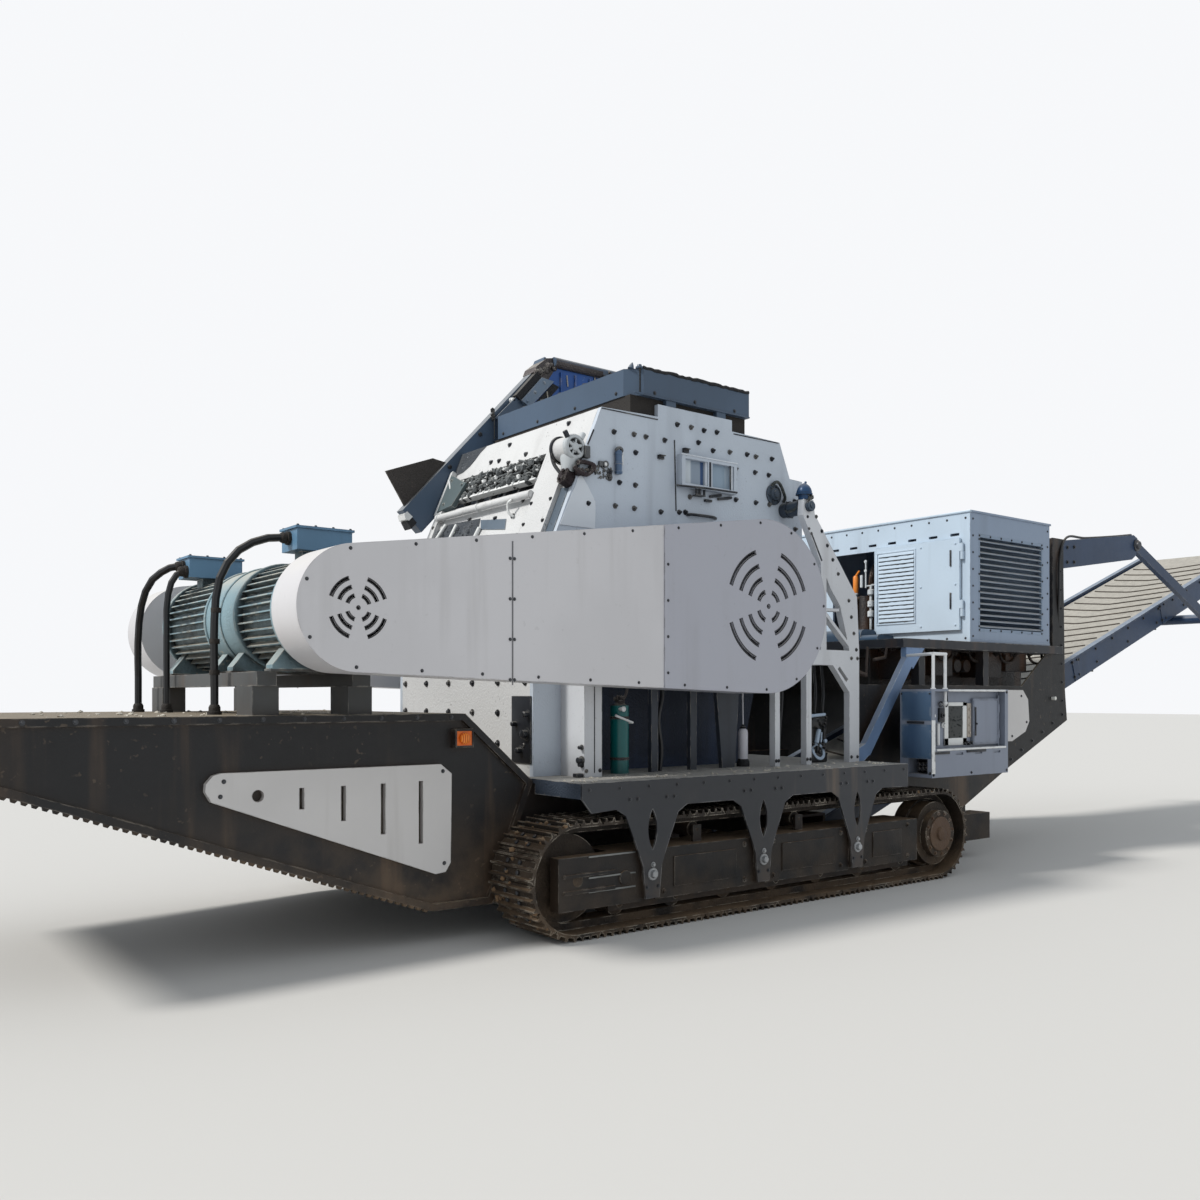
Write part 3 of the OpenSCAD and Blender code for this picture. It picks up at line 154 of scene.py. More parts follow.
EARTH = srgb(142, 118, 92)
CHALK = srgb(205, 200, 190)
SOOT = srgb(24, 22, 21)


def bare_finish(name):
    """A new material with its node tree, its shader and the place on the piece."""
    made = bpy.data.materials.new(name)
    made.use_nodes = True
    tree = made.node_tree
    at = Wire(tree, tree.nodes.new("ShaderNodeTexCoord").outputs["Object"])
    return made, tree, tree.nodes["Principled BSDF"], at


def coat(name, colour, rough, metal=0.0, tone=0.07, runs=0.0, run_colour=SOOT, specks=0.0, speck_size=60,
         speck_colour=SOOT, dust=0.0, dust_colour=EARTH, low=0.0, low_top=0.6, chips=0.0, chip_colour=CHALK,
         corner_shade=0.0, dents=0.0, grain=0.0, shade_patch=None):
    """A finish in layers: tone, painted shade in corners and creases, runs of dirt, specks, dust on top, earth
    near the ground, and wear along edges. Each amount is 0 for none. A shade patch is a second colour past an
    X, as painted shade."""
    made, tree, shader, at = bare_finish(name)
    shader.inputs["Metallic"].default_value = metal
    facing = Wire(tree, tree.nodes.new("ShaderNodeNewGeometry").outputs["Normal"])
    height = at.dot((0, 0, 1))
    broad = at.noise(0.9, 5)
    fine = at.noise(14, 8)
    darker = tuple(c * (1 - tone) for c in colour[:3]) + (1,)
    lighter = tuple(min(1, c * (1 + tone)) for c in colour[:3]) + (1,)
    pigment = broad.step(0.38, 0.62).blend(darker, lighter)
    if shade_patch:
        edge, shade_colour = shade_patch
        pigment = at.dot((1, 0, 0)).step(edge - 0.004, edge).blend(pigment, shade_colour)
    gloss = fine * 0.16 + (rough - 0.08)
    # Painted shade: corners and creases that ambient occlusion finds are darkened towards the run colour.
    if corner_shade:
        occlusion = at.node("AmbientOcclusion", {"samples": 6}, {"Distance": 0.25}, 1)
        shaded = occlusion.step(0.85, 0.25) * (fine * 0.8 + 0.5) * corner_shade
        pigment = shaded.blend(pigment, run_colour)
    if runs:
        wet = at.noise(5.5, 5, (1, 1, 0.07)).step(0.52, 0.74) * broad.step(0.35, 0.6) * runs
        upright = facing.node("Math", {"operation": "ABSOLUTE"}, {0: facing.dot((0, 0, 1))})
        pigment = (wet * upright.step(0.6, 0.2)).blend(pigment, run_colour)
    if specks:
        hit = at.noise(speck_size, 2).step(0.66, 0.72) * at.noise(3.3, 3).step(0.42, 0.62) * specks
        pigment = hit.blend(pigment, speck_colour)
    if chips:
        rounded = at.node("Bevel", {"samples": 4}, {"Radius": 0.012})
        rim = (1 - rounded.dot(facing)).step(0.02, 0.14)
        pigment = (rim * at.noise(9, 6).step(0.45, 0.6) * chips).blend(pigment, chip_colour)
    if dust:
        settled = facing.dot((0, 0, 1)).step(0.35, 0.9) * (fine * 0.9 + 0.45) * dust
        pigment = settled.blend(pigment, dust_colour)
        gloss = gloss + settled * 0.3
    if low:
        splash = height.step(low_top, 0.0) * at.noise(4.2, 7).step(0.30, 0.62) * low
        pigment = splash.blend(pigment, EARTH)
        gloss = gloss + splash * 0.3
    tree.links.new(pigment.socket, shader.inputs["Base Color"])
    tree.links.new(gloss.socket, shader.inputs["Roughness"])
    if dents or grain:
        relief = at.noise(1.3, 2) * dents + at.noise(70, 6) * grain
        bumped = at.node("Bump", {}, {"Strength": 1.0, "Distance": 0.02, "Height": relief})
        tree.links.new(bumped.socket, shader.inputs["Normal"])
    return made


def wear(finish, *names):
    """Gives the frame's own pieces their finish."""
    for name in names:
        shown = nodes[name].data
        shown.materials.clear()
        shown.materials.append(finish)
        shown.shade_smooth()
        shown.set_sharp_from_angle(angle=math.radians(28))


def square_to(axis):
    """Two directions square to an axis and to each other."""
    axis = Vector(axis).normalized()
    side = axis.cross(Vector((0, 0, 1)) if abs(axis.z) < 0.9 else Vector((1, 0, 0))).normalized()
    return side, axis.cross(side)


def outward(angle):
    """The way out from a shaft that lies along Y, at an angle round it."""
    return Vector((math.cos(angle), 0, math.sin(angle)))


def turn(shape, foot, axis, profile, sides=16, turned=0.0):
    """A turned form from its foot along an axis: profile lists (distance, radius)."""
    axis = Vector(axis).normalized()
    side, up = square_to(axis)
    rings = []
    for along, radius in profile:
        centre = Vector(foot) + axis * along
        rings.append([shape.verts.new(centre + (side * math.cos(a) + up * math.sin(a)) * radius)
                      for a in (turned + 2 * math.pi * k / sides for k in range(sides))])
    for low_ring, high_ring in zip(rings, rings[1:]):
        for k in range(sides):
            n = (k + 1) % sides
            shape.faces.new((low_ring[k], high_ring[k], high_ring[n], low_ring[n]))
    shape.faces.new(rings[0])
    shape.faces.new(rings[-1][::-1])


def place(name, shape, finish, body="machine", crease=32):
    """Closes a shape into a piece that rides on a body."""
    bmesh.ops.recalc_face_normals(shape, faces=shape.faces)
    mesh = bpy.data.meshes.new(name)
    shape.to_mesh(mesh)
    shape.free()
    mesh.materials.append(finish)
    mesh.shade_smooth()
    mesh.set_sharp_from_angle(angle=math.radians(crease))
    made = bpy.data.objects.new(name, mesh)
    bpy.context.collection.objects.link(made)
    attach(made, body)


random.seed(11)
SIDES = (-1, 1)
track_steel = coat("track_steel", srgb(54, 47, 41), 0.62, 0.35, tone=0.3, corner_shade=1.0, dust=0.5, low=0.34,
                   low_top=0.9, chips=1.0, chip_colour=srgb(186, 178, 164), grain=0.5)
bolt_steel = coat("bolt_steel", srgb(78, 80, 84), 0.45, 0.6, tone=0.2, corner_shade=0.5, dust=0.3)
wear(track_steel, "track_right", "track_left", "idler_wheels", "drive_sprockets", "track_rollers")

IDLER_X, DRIVE_X, TRACK_Z, TRACK_R, TRACK_Y = -4.445, -0.495, 0.395, 0.355, 1.43
SHOES, CLODS = 54, 330
GROUND_CLEAR = 0.05
GROUSER_ROOT = 0.014
RUN = DRIVE_X - IDLER_X
PITCH = (2 * RUN + 2 * math.pi * TRACK_R) / SHOES


def on_track(s, h):
    """A place on the loop, s along it and h out from the shoes' RECESS, and the way out there."""
    bend = math.pi * TRACK_R
    s %= 2 * (RUN + bend)
    if s < RUN:
        return Vector((IDLER_X + s, 0, TRACK_Z - TRACK_R - h)), Vector((0, 0, -1))
    if s < RUN + bend:
        out = outward((s - RUN) / TRACK_R - math.pi / 2)
        return Vector((DRIVE_X, 0, TRACK_Z)) + out * (TRACK_R + h), out
    if s < 2 * RUN + bend:
        return Vector((DRIVE_X - (s - RUN - bend), 0, TRACK_Z + TRACK_R + h)), Vector((0, 0, 1))
    out = outward((s - 2 * RUN - bend) / TRACK_R + math.pi / 2)
    return Vector((IDLER_X, 0, TRACK_Z)) + out * (TRACK_R + h), out


for side in SIDES:
    shape = bmesh.new()
    for k in range(SHOES):
        for part, across in ((0.33, -0.07), (0.33, 0.07), (0.67, -0.07), (0.67, 0.07)):
            at, out = on_track((k + part) * PITCH, GROUSER_ROOT)
            if at.z > GROUND_CLEAR:
                foot = at + Vector((0, side * (TRACK_Y + across), 0))
                turn(shape, foot, out, [(0, 0.016), (0.011, 0.016), (0.014, 0.012)], 6)
    place("shoe_bolts_" + ("right" if side < 0 else "left"), shape, bolt_steel)

earth = coat("earth", srgb(132, 106, 80), 0.95, tone=0.25, corner_shade=0.5, dust=0.5,
             dust_colour=srgb(176, 156, 128), grain=1.0)
shape = bmesh.new()
for side in SIDES:
    for k in range(CLODS):
        at, out = on_track(random.uniform(RUN + 0.15, 2 * RUN + 2 * math.pi * TRACK_R - 0.15), 0.016)
        size = random.uniform(0.008, 0.026)
        clod = bmesh.ops.create_icosphere(shape, subdivisions=1, radius=size)["verts"]
        at.y = side * (TRACK_Y + random.uniform(-0.225, 0.225))
        for v in clod:
            v.co = at + v.co * random.uniform(0.65, 1.25)
place("track_clods", shape, earth)


# Drive hubs. A round cover of pressed steel sits over each drive sprocket, ringed with bolts and
# brown with the dust that its grease holds.
def bolt(shape, at, axis, radius=0.012):
    """A hexagon head on its washer."""
    turn(shape, at, axis, [(0, radius * 1.7), (radius * 0.3, radius * 1.6)], 14)
    foot = Vector(at) + Vector(axis).normalized() * radius * 0.25
    turn(shape, foot, axis, [(0, radius), (radius * 0.85, radius), (radius, radius * 0.82)], 6, random.random())


def bolt_circle(shape, centre, axis, radius, count, head, first=0.0):
    """Evenly spaced bolts round a centre on a shaft along Y."""
    for k in range(count):
        a = math.radians(first + 360 * k / count)
        bolt(shape, Vector(centre) + outward(a) * radius, axis, head)


hub_brown = coat("hub_brown", srgb(92, 68, 50), 0.55, 0.2, tone=0.2, corner_shade=0.7, dust=0.4, low=0.5,
                 chips=0.4, grain=0.3)
HUB_FACE = 1.660
shape = bmesh.new()
for side in SIDES:
    face, out = side * HUB_FACE, (0, side, 0)
    turn(shape, (DRIVE_X, face, TRACK_Z), out,
         [(0, 0.150), (0.008, 0.150), (0.012, 0.144), (0.012, 0.06), (0.026, 0.055), (0.030, 0.048)], 40)
    bolt_circle(shape, (DRIVE_X, face, TRACK_Z), out, 0.178, 12, 0.011, first=8)
place("hub_plates", shape, hub_brown)


# Track frames and chassis. Welded black boxes between the wheels, stained brown by the ground,
# with bolted covers, a grease cap and worn ribs on the front box, and beams under the deck.
def slab(shape, low, high, rim=0.004):
    """A plate or block between two corners, with its edges broken."""
    made = bmesh.ops.create_cube(shape, size=1)["verts"]
    size = Vector(high) - Vector(low)
    middle = (Vector(high) + Vector(low)) / 2
    for v in made:
        v.co = Vector(v.co[i] * size[i] + middle[i] for i in range(3))
    rim = min(rim, min(size) * 0.3)
    edges = list({e for v in made for e in v.link_edges})
    bmesh.ops.bevel(shape, geom=edges, offset=rim, segments=2, affect="EDGES", profile=0.5)


def side_slab(shape, side, x, y, z, rim=0.004):
    """A block on one side of the machine: its reach in X, out from the middle in Y, and in Z."""
    near, far = sorted((side * y[0], side * y[1]))
    slab(shape, (x[0], near, z[0]), (x[1], far, z[1]), rim)


frame_black = coat("frame_black", srgb(14, 13, 14), 0.62, tone=0.25, corner_shade=0.6, run_colour=srgb(58, 44, 34),
                   runs=0.4, dust=0.6, low=0.16, low_top=0.75, chips=0.8, chip_colour=srgb(126, 120, 112),
                   dents=0.12, grain=0.15)
wear(frame_black, "track_frames", "chassis_beams", "cross_members", "rear_bumper")
BOX_FACE = 1.655
shape = bmesh.new()
for side in SIDES:
    out = (0, side, 0)
    face = side * BOX_FACE
    for x0, x1 in ((-3.75, -2.86), (-2.65, -1.77), (-1.56, -0.90)):
        for x in (x0 + 0.05, x1 - 0.05):
            for z in (0.245, 0.505):
                bolt(shape, (x, face, z), out, 0.013)
        side_slab(shape, side, (x0 + 0.14, x1 - 0.14), (BOX_FACE, BOX_FACE + 0.010), (0.27, 0.48))
    turn(shape, (-4.05, face, 0.375), out, [(0, 0.05), (0.012, 0.05), (0.018, 0.04)], 20)
place("side_box_covers", shape, frame_black)
shape = bmesh.new()
for side in SIDES:
    for z in (0.305, 0.398, 0.536):
        side_slab(shape, side, (-4.360, -3.960), (BOX_FACE, BOX_FACE + 0.008), (z, z + 0.012), 0.003)
rib_worn = coat("rib_worn", srgb(122, 124, 122), 0.5, 0.3, tone=0.25, corner_shade=0.6, runs=0.6, chips=0.5,
                chip_colour=srgb(40, 38, 36))
place("side_box_ribs", shape, rib_worn)


# Skirts and deck. Bent plate comes down to three legs with eye-shaped holes, dark grey, with pale
# dust along the deck's edge; bolts run over each leg, and bright ones hold its foot.
def spread(first, last, count):
    """Evenly spaced numbers from one to another."""
    return [first + (last - first) * k / (count - 1) for k in range(count)]


skirt_grey = coat("skirt_grey", srgb(41, 44, 50), 0.42, tone=0.10, runs=0.5, run_colour=srgb(120, 104, 88),
                  dust=0.95, dust_colour=CHALK, low=0.25, low_top=0.7, chips=0.75,
                  chip_colour=srgb(150, 150, 150), corner_shade=0.3, dents=0.25)
deck_dust = coat("deck_dust", srgb(52, 62, 76), 0.7, tone=0.15, dust=0.55, dust_colour=CHALK, corner_shade=0.4,
                 specks=0.5, speck_size=30, speck_colour=srgb(120, 108, 92), chips=0.6, grain=0.6)
wear(skirt_grey, "side_skirts")
wear(deck_dust, "deck")
LEGS = (-3.840, -2.753, -1.667)
SKIRT_FACE, DECK_TOP, TAIL_TOP = 1.700, 1.031, 1.486
shape = bmesh.new()
for side in SIDES:
    face, out = side * SKIRT_FACE, (0, side, 0)
    for x in LEGS:
        for dx in (-0.20, -0.13, 0.13, 0.20):
            bolt(shape, (x + dx, face, 0.905), out, 0.010)
        for dx in (-0.05, 0.05):
            bolt(shape, (x + dx, face, 0.300), out, 0.009)
    for x in spread(-4.38, -1.06, 14):
        bolt(shape, (x, face, 0.985), out, 0.008)
place("skirt_bolts", shape, bolt_steel)
bright_bolt = coat("bright_bolt", srgb(176, 178, 180), 0.4, 0.3, tone=0.2, corner_shade=0.7, chips=0.4,
                   chip_colour=srgb(70, 70, 72))
shape = bmesh.new()
for side in SIDES:
    for x in LEGS:
        bolt(shape, (x, side * SKIRT_FACE, 0.385), (0, side, 0), 0.026)
        bolt(shape, (x + 0.004, side * SKIRT_FACE, 0.448), (0, side, 0), 0.012)
place("leg_bolts", shape, bright_bolt)


# Deck grit. Small pale stones and crumbs lie loose on the deck and on the tail's top, where the
# feed spills them.
GRIT, ON_TAIL = 260, 0.3
chalk = coat("chalk", srgb(196, 190, 178), 0.9, tone=0.2, grain=0.6)
shape = bmesh.new()
for k in range(GRIT):
    side = random.choice(SIDES)
    at = Vector((random.uniform(-4.4, -1.05), side * random.uniform(1.29, 1.66), DECK_TOP))
    if random.random() < ON_TAIL:
        at = Vector((random.uniform(-8.2, -5.05), random.uniform(-1.1, 1.1), TAIL_TOP))
    size = random.uniform(0.006, 0.020)
    stone = bmesh.ops.create_icosphere(shape, subdivisions=1, radius=size)["verts"]
    for v in stone:
        v.co = at + Vector((v.co.x, v.co.y, max(-0.001, v.co.z * 0.7))) * random.uniform(0.7, 1.2)
place("deck_grit", shape, chalk, crease=10)


# Tail. A wedge of thick plate, charcoal paint with brown stains and scratches, with a bright
# slotted panel bolted on each side and a toothed rubber edge under the rim.
def prism(shape, outline, depth):
    """A plate between an outline and its copy, depth away."""
    near = [shape.verts.new(p) for p in outline]
    far = [shape.verts.new(Vector(p) + depth) for p in outline]
    shape.faces.new(near)
    shape.faces.new(far[::-1])
    for k in range(len(outline)):
        n = (k + 1) % len(outline)
        shape.faces.new((near[n], near[k], far[k], far[n]))


def sheet_plate(shape, outline, y_low, y_high):
    """A plate with its outline in X and Z, from one Y to another."""
    prism(shape, [Vector((x, y_low, z)) for x, z in outline], Vector((0, y_high - y_low, 0)))


def side_plate(shape, outline, side, near, far):
    """A plate on one side of the machine, from one distance to another out from the middle."""
    sheet_plate(shape, outline, *sorted((side * near, side * far)))


def row(start, end, count):
    """Evenly spaced points from one to another."""
    start, end = Vector(start), Vector(end)
    return [start.lerp(end, k / (count - 1)) for k in range(count)]


charcoal = coat("charcoal", srgb(17, 17, 20), 0.50, tone=0.14,
                runs=0.8, run_colour=srgb(88, 70, 54), specks=0.5, speck_size=26, speck_colour=srgb(96, 82, 68),
                dust=0.85, dust_colour=srgb(150, 138, 120), low=0.35, low_top=1.1, chips=0.9,
                chip_colour=srgb(128, 120, 110), corner_shade=0.35, dents=0.35, grain=0.10)
panel_grey = coat("panel_grey", srgb(204, 202, 201), 0.38, tone=0.04, runs=0.25, run_colour=srgb(120, 112, 104),
                  dust=0.4, chips=0.5, chip_colour=srgb(70, 64, 60), corner_shade=0.25, dents=0.12)
wear(charcoal, "tail_plates", "tail_deck", "nose_plates")
wear(panel_grey, "side_panels")
belt_black = coat("belt_black", srgb(38, 34, 31), 0.8, tone=0.2, low=0.6, low_top=1.4, grain=0.3)
TAIL_FACE, NOSE_FACE, PANEL_FACE = 1.160, 1.130, 1.170
TAIL_HEEL, TAIL_END = Vector((-5.242, 0, 0.216)), Vector((-8.300, 0, 1.310))
TOOTH_PITCH, TOOTH_DEPTH, STRIP = 0.052, 0.016, 0.028
slope = TAIL_END - TAIL_HEEL
way = slope.normalized()
under = Vector((-abs(way.z), 0, -abs(way.x))) * TOOTH_DEPTH
shape = bmesh.new()
for side in SIDES:
    for k in range(int(slope.length / TOOTH_PITCH)):
        foot = TAIL_HEEL + way * (0.03 + k * TOOTH_PITCH)
        corners = [foot, foot + way * 0.034, foot + way * 0.026 + under, foot + way * 0.008 + under]
        side_plate(shape, [c.xz for c in corners], side, TAIL_FACE, TAIL_FACE - STRIP)
place("tail_edge_teeth", shape, belt_black)
shape = bmesh.new()
for side in SIDES:
    out = (0, side, 0)
    for at in row((-8.1, side * TAIL_FACE, 1.463), (-5.1, side * TAIL_FACE, 1.463), 13):
        bolt(shape, at, out, 0.009)
    for x, z in ((-6.58, 1.115), (-5.17, 1.115), (-5.16, 0.52), (-6.60, 1.03), (0.64, 1.19), (0.64, 1.61),
                 (1.45, 1.19), (1.62, 1.60), (1.72, 1.33)):
        bolt(shape, (x, side * PANEL_FACE, z), out, 0.008)
    for at in row((1.30, side * NOSE_FACE, 0.86), (2.50, side * NOSE_FACE, 1.40), 7):
        bolt(shape, at, out, 0.012)
    for at in row((2.50, side * NOSE_FACE, 1.55), (2.46, side * NOSE_FACE, 2.95), 8):
        bolt(shape, at, out, 0.010)
place("tail_bolts", shape, bolt_steel)


# Marker lamps. An amber lens with moulded ribs sits in a small welded housing on each side of the
# tail, behind the bright panel.
amber = coat("amber", srgb(232, 110, 20), 0.22, tone=0.1, dust=0.3, corner_shade=0.2)
amber_glass, glass_tree, glass_shader, glass_at = bare_finish("amber_glass")
ribs = glass_at.node("TexWave", {"bands_direction": "X"}, {"Vector": glass_at, "Scale": 22.0})
lamp_tone = ribs.blend(srgb(190, 74, 10), srgb(250, 150, 40))
glass_tree.links.new(lamp_tone.socket, glass_shader.inputs["Base Color"])
glass_shader.inputs["Roughness"].default_value = 0.15
wear(amber, "marker_lamps")
LAMP_Y = (1.130, 1.192)
shape = bmesh.new()
for side in SIDES:
    out = (0, side, 0)
    turn(shape, (-5.019, side * 1.196, 1.323), out,
         [(0, 0.036), (0.008, 0.034), (0.014, 0.024), (0.016, 0.004)], 28)
place("lamp_lenses", shape, amber_glass)
shape = bmesh.new()
for side in SIDES:
    for z0, z1 in ((1.262, 1.276), (1.371, 1.385)):
        side_slab(shape, side, (-5.088, -4.950), LAMP_Y, (z0, z1))
    for x0, x1 in ((-5.088, -5.076), (-4.962, -4.950)):
        side_slab(shape, side, (x0, x1), LAMP_Y, (1.270, 1.377))
place("lamp_housings", shape, charcoal)


# Motors. Two finned cast motors end to end on one shaft, blue-grey paint gone dusty between the
# fins, with bolted end rings, and junction boxes whose covers are screwed down.
motor_blue = coat("motor_blue", srgb(120, 146, 156), 0.45,
                  tone=0.28, corner_shade=1.0, run_colour=srgb(30, 32, 34), dust=0.7, dust_colour=srgb(196, 188, 172),
                  runs=0.8, chips=0.9, chip_colour=srgb(196, 194, 182), specks=0.7, speck_size=16,
                  speck_colour=srgb(186, 180, 160), grain=0.3)
box_blue = coat("box_blue", srgb(94, 132, 162), 0.40, tone=0.08, corner_shade=0.3, dust=0.4, dust_colour=CHALK,
                runs=0.35, chips=0.5, chip_colour=srgb(60, 60, 62))
base_black = coat("base_black", srgb(74, 76, 77), 0.55, tone=0.25, dust=0.8, runs=0.4,
                  run_colour=srgb(90, 72, 56), chips=0.4, corner_shade=0.3)
wear(motor_blue, "motor_right", "motor_left")
wear(box_blue, "junction_boxes")
wear(base_black, "motor_base")
UP, TAILWARD = Vector((0, 0, 1)), Vector((-1, 0, 0))
MOTOR, END_RING, COWL_RING = Vector((-6.005, 0, 2.095)), 0.315, 0.268
shape = bmesh.new()
for y, radius, out in ((-0.390, END_RING, 1), (-0.660, END_RING, -1), (-0.370, END_RING, -1),
                       (-0.100, END_RING, 1), (0.845, COWL_RING, 1), (-1.325, COWL_RING, -1)):
    bolt_circle(shape, MOTOR + Vector((0, y, 0)), (0, out, 0), radius, 16, 0.010)
for x in (-6.28, -5.73):
    for y in (-1.19, -0.53, -0.23, 0.705):
        bolt(shape, (x, y, 1.782), UP, 0.020)
for x0, x1, y0, y1, z in ((-6.012, -5.618, -0.817, -0.543, 2.670), (-6.302, -5.908, 0.383, 0.657, 2.580)):
    for x in spread(x0 + 0.02, x1 - 0.02, 4):
        for y in (y0 + 0.02, y1 - 0.02):
            bolt(shape, (x, y, z), UP, 0.008)
place("motor_bolts", shape, bolt_steel)
shape = bmesh.new()
for y0, y1 in ((-0.672, -0.648), (-0.404, -0.372), (-0.112, -0.088), (-1.30, -1.26), (0.79, 0.83)):
    long = y1 - y0
    profile = [(0, 0.300), (0, 0.340), (0.004, 0.345), (long - 0.004, 0.345), (long, 0.340), (long, 0.300)]
    turn(shape, MOTOR + Vector((0, y0, 0)), (0, 1, 0), profile, 56)
place("motor_rings", shape, motor_blue)


# Motor cables. Black rubber cables run from glands on the junction boxes down through glands in
# the tail's top, with clips along the right one.
cable_black = coat("cable_black", srgb(26, 27, 30), 0.32, tone=0.15, dust=0.5, dust_colour=srgb(120, 112, 102))
wear(cable_black, "motor_cables")
shape = bmesh.new()
for end, way in (((-6.000, -0.680, 2.600), TAILWARD), ((-6.290, 0.520, 2.510), TAILWARD),
                 ((-6.290, 0.450, 2.470), TAILWARD), ((-6.445, -0.600, 1.485), UP),
                 ((-6.510, 0.850, 1.485), UP), ((-6.420, 0.480, 1.485), UP)):
    turn(shape, end, way, [(0, 0.044), (0.02, 0.044), (0.022, 0.036), (0.045, 0.036), (0.060, 0.029),
                           (0.062, 0.026)], 12)
for at, way in (((-6.448, -0.634, 2.14), (0.03, 0, -1)), ((-6.452, -0.622, 1.95), (0, 0, -1)),
                ((-6.448, -0.608, 1.76), (0, 0, -1))):
    turn(shape, at, way, [(0, 0.030), (0.004, 0.031), (0.026, 0.031), (0.03, 0.030)], 14)
place("cable_glands", shape, belt_black)


# Belt guards. Two sheet covers with round ends over the pulleys, light grey, dulled by dust and
# faintly dented; the discharge half is painted a darker grey as painted shade. Small screws run round
# the rims, and the curved vent slots are edged with dark rims of painted shade.
def hoop(shape, foot, axis, profile, sides=16):
    """A turned ring: profile lists (distance, radius) round its section."""
    axis = Vector(axis).normalized()
    side, up = square_to(axis)
    spokes = [side * math.cos(a) + up * math.sin(a) for a in (2 * math.pi * k / sides for k in range(sides))]
    rings = [[shape.verts.new(Vector(foot) + axis * along + spoke * radius) for along, radius in profile]
             for spoke in spokes]
    for first, second in zip(rings, rings[1:] + rings[:1]):
        for j in range(len(profile)):
            n = (j + 1) % len(profile)
            shape.faces.new((first[j], second[j], second[n], first[n]))


def ring(shape, foot, axis, bore, rim, length, sides):
    """A plain band or collar with a straight bore."""
    hoop(shape, foot, axis, [(0, bore), (0, rim), (length, rim), (length, bore)], sides)


GUARD_FACE, COVER_FACE, COVER_EDGE = 1.692, 1.700, -3.730
# The cover past the cover's edge takes the darker grey: painted shade, where that face catches less light.
guard_light = srgb(207, 206, 209)
guard_shade = srgb(173, 175, 185)
guard_paint = coat("guard_paint", guard_light, 0.40, tone=0.035, runs=0.22, run_colour=srgb(128, 124, 120),
                   specks=0.10, speck_size=22, speck_colour=srgb(110, 106, 100), dust=0.5,
                   dust_colour=srgb(214, 210, 202), chips=0.45, chip_colour=srgb(96, 92, 88), corner_shade=0.15,
                   dents=0.35, shade_patch=(COVER_EDGE, guard_shade))
wear(guard_paint, "belt_guard_right", "belt_guard_left")
SMALL_END, LARGE_END = Vector((-6.005, 0, 2.095)), Vector((-2.700, 0, 2.270))
SMALL_R, LARGE_R = 0.362, 0.650
tilt = math.atan2(LARGE_END.z - SMALL_END.z, LARGE_END.x - SMALL_END.x)
lean = math.acos((SMALL_R - LARGE_R) / (LARGE_END - SMALL_END).length)


def guard_rim(inset):
    """Points round a guard, a little inside its edge."""
    points = []
    for centre, radius, first, last in ((SMALL_END, SMALL_R - inset, tilt + lean, tilt + 2 * math.pi - lean),
                                        (LARGE_END, LARGE_R - inset, tilt - lean, tilt + lean)):
        steps = max(3, int(abs(last - first) * radius / 0.30))
        points += [centre + outward(a) * radius for a in spread(first, last, steps + 1)]
    for sign in SIDES:
        tangent = outward(tilt + sign * lean)
        points += row(SMALL_END + tangent * (SMALL_R - inset), LARGE_END + tangent * (LARGE_R - inset), 9)[1:-1]
    return points


RIM_INSET, SCREW, SEAM_FACE, SHADE_RIM = 0.028, 0.0065, 1.6935, 0.0012
shape = bmesh.new()
for side in SIDES:
    out = (0, side, 0)
    for at in guard_rim(RIM_INSET):
        depth = COVER_FACE if at.x > COVER_EDGE else GUARD_FACE
        bolt(shape, (at.x, side * depth, at.z), out, SCREW)
    for z in (1.70, 1.95, 2.20, 2.45):
        bolt(shape, (-4.962, side * SEAM_FACE, z), out, SCREW)
        bolt(shape, (-4.994, side * SEAM_FACE, z), out, SCREW)
        bolt(shape, (-3.700, side * COVER_FACE, z + 0.06), out, SCREW)
place("guard_screws", shape, bolt_steel)
shape = bmesh.new()
for side in SIDES:
    side_slab(shape, side, (-4.981, -4.976), (GUARD_FACE, GUARD_FACE + 0.0025), (1.668, 2.558), 0.001)
    side_slab(shape, side, (-4.975, -4.971), (GUARD_FACE, GUARD_FACE + 0.0025), (1.667, 2.559), 0.001)
seam_shadow = coat("seam_shadow", srgb(112, 112, 116), 0.5, tone=0.1, corner_shade=0.3)
place("guard_seams", shape, seam_shadow)
# Dark strips beside each vent slot and a dark ring round each hub hole are painted shade.
shape = bmesh.new()
for side in SIDES:
    for hub, radii, slot, face in ((SMALL_END, (0.070, 0.121, 0.172), 0.014, GUARD_FACE),
                                   (LARGE_END, (0.110, 0.210, 0.310, 0.415), 0.020, COVER_FACE)):
        centre = hub + Vector((0, side * face, 0))
        ring(shape, centre, (0, side, 0), slot * 0.65, slot * 0.95, SHADE_RIM, 20)
        for radius in radii:
            for first in (19, 109, 199, 289):
                sweep = [math.radians(a) for a in spread(first, first + 52, 11)]
                for near, far in ((radius - slot * 0.88, radius - slot * 0.5),
                                  (radius + slot * 0.5, radius + slot * 0.88)):
                    edges = [outward(a) * near for a in sweep] + [outward(a) * far for a in sweep[::-1]]
                    prism(shape, [centre + edge for edge in edges], Vector((0, side * SHADE_RIM, 0)))
vent_shadow = coat("vent_shadow", srgb(44, 44, 48), 0.6, tone=0.2, corner_shade=0.4, dust=0.3)
place("vent_shade_rims", shape, vent_shadow)


# Crusher housing. Thick welded plate painted white, dulled by rock dust and dotted with the dark
# heads of the bolts that hold its wear liners; a thin gusset is welded at each feed corner.
def strip(shape, start, end, half, side, near, far):
    """A thin flat line along a plate, between two places in X and Z."""
    start, end = Vector(start), Vector(end)
    along = (end - start).normalized()
    across = Vector((-along.y, along.x)) * half
    side_plate(shape, [start + across, end + across, end - across, start - across], side, near, far)


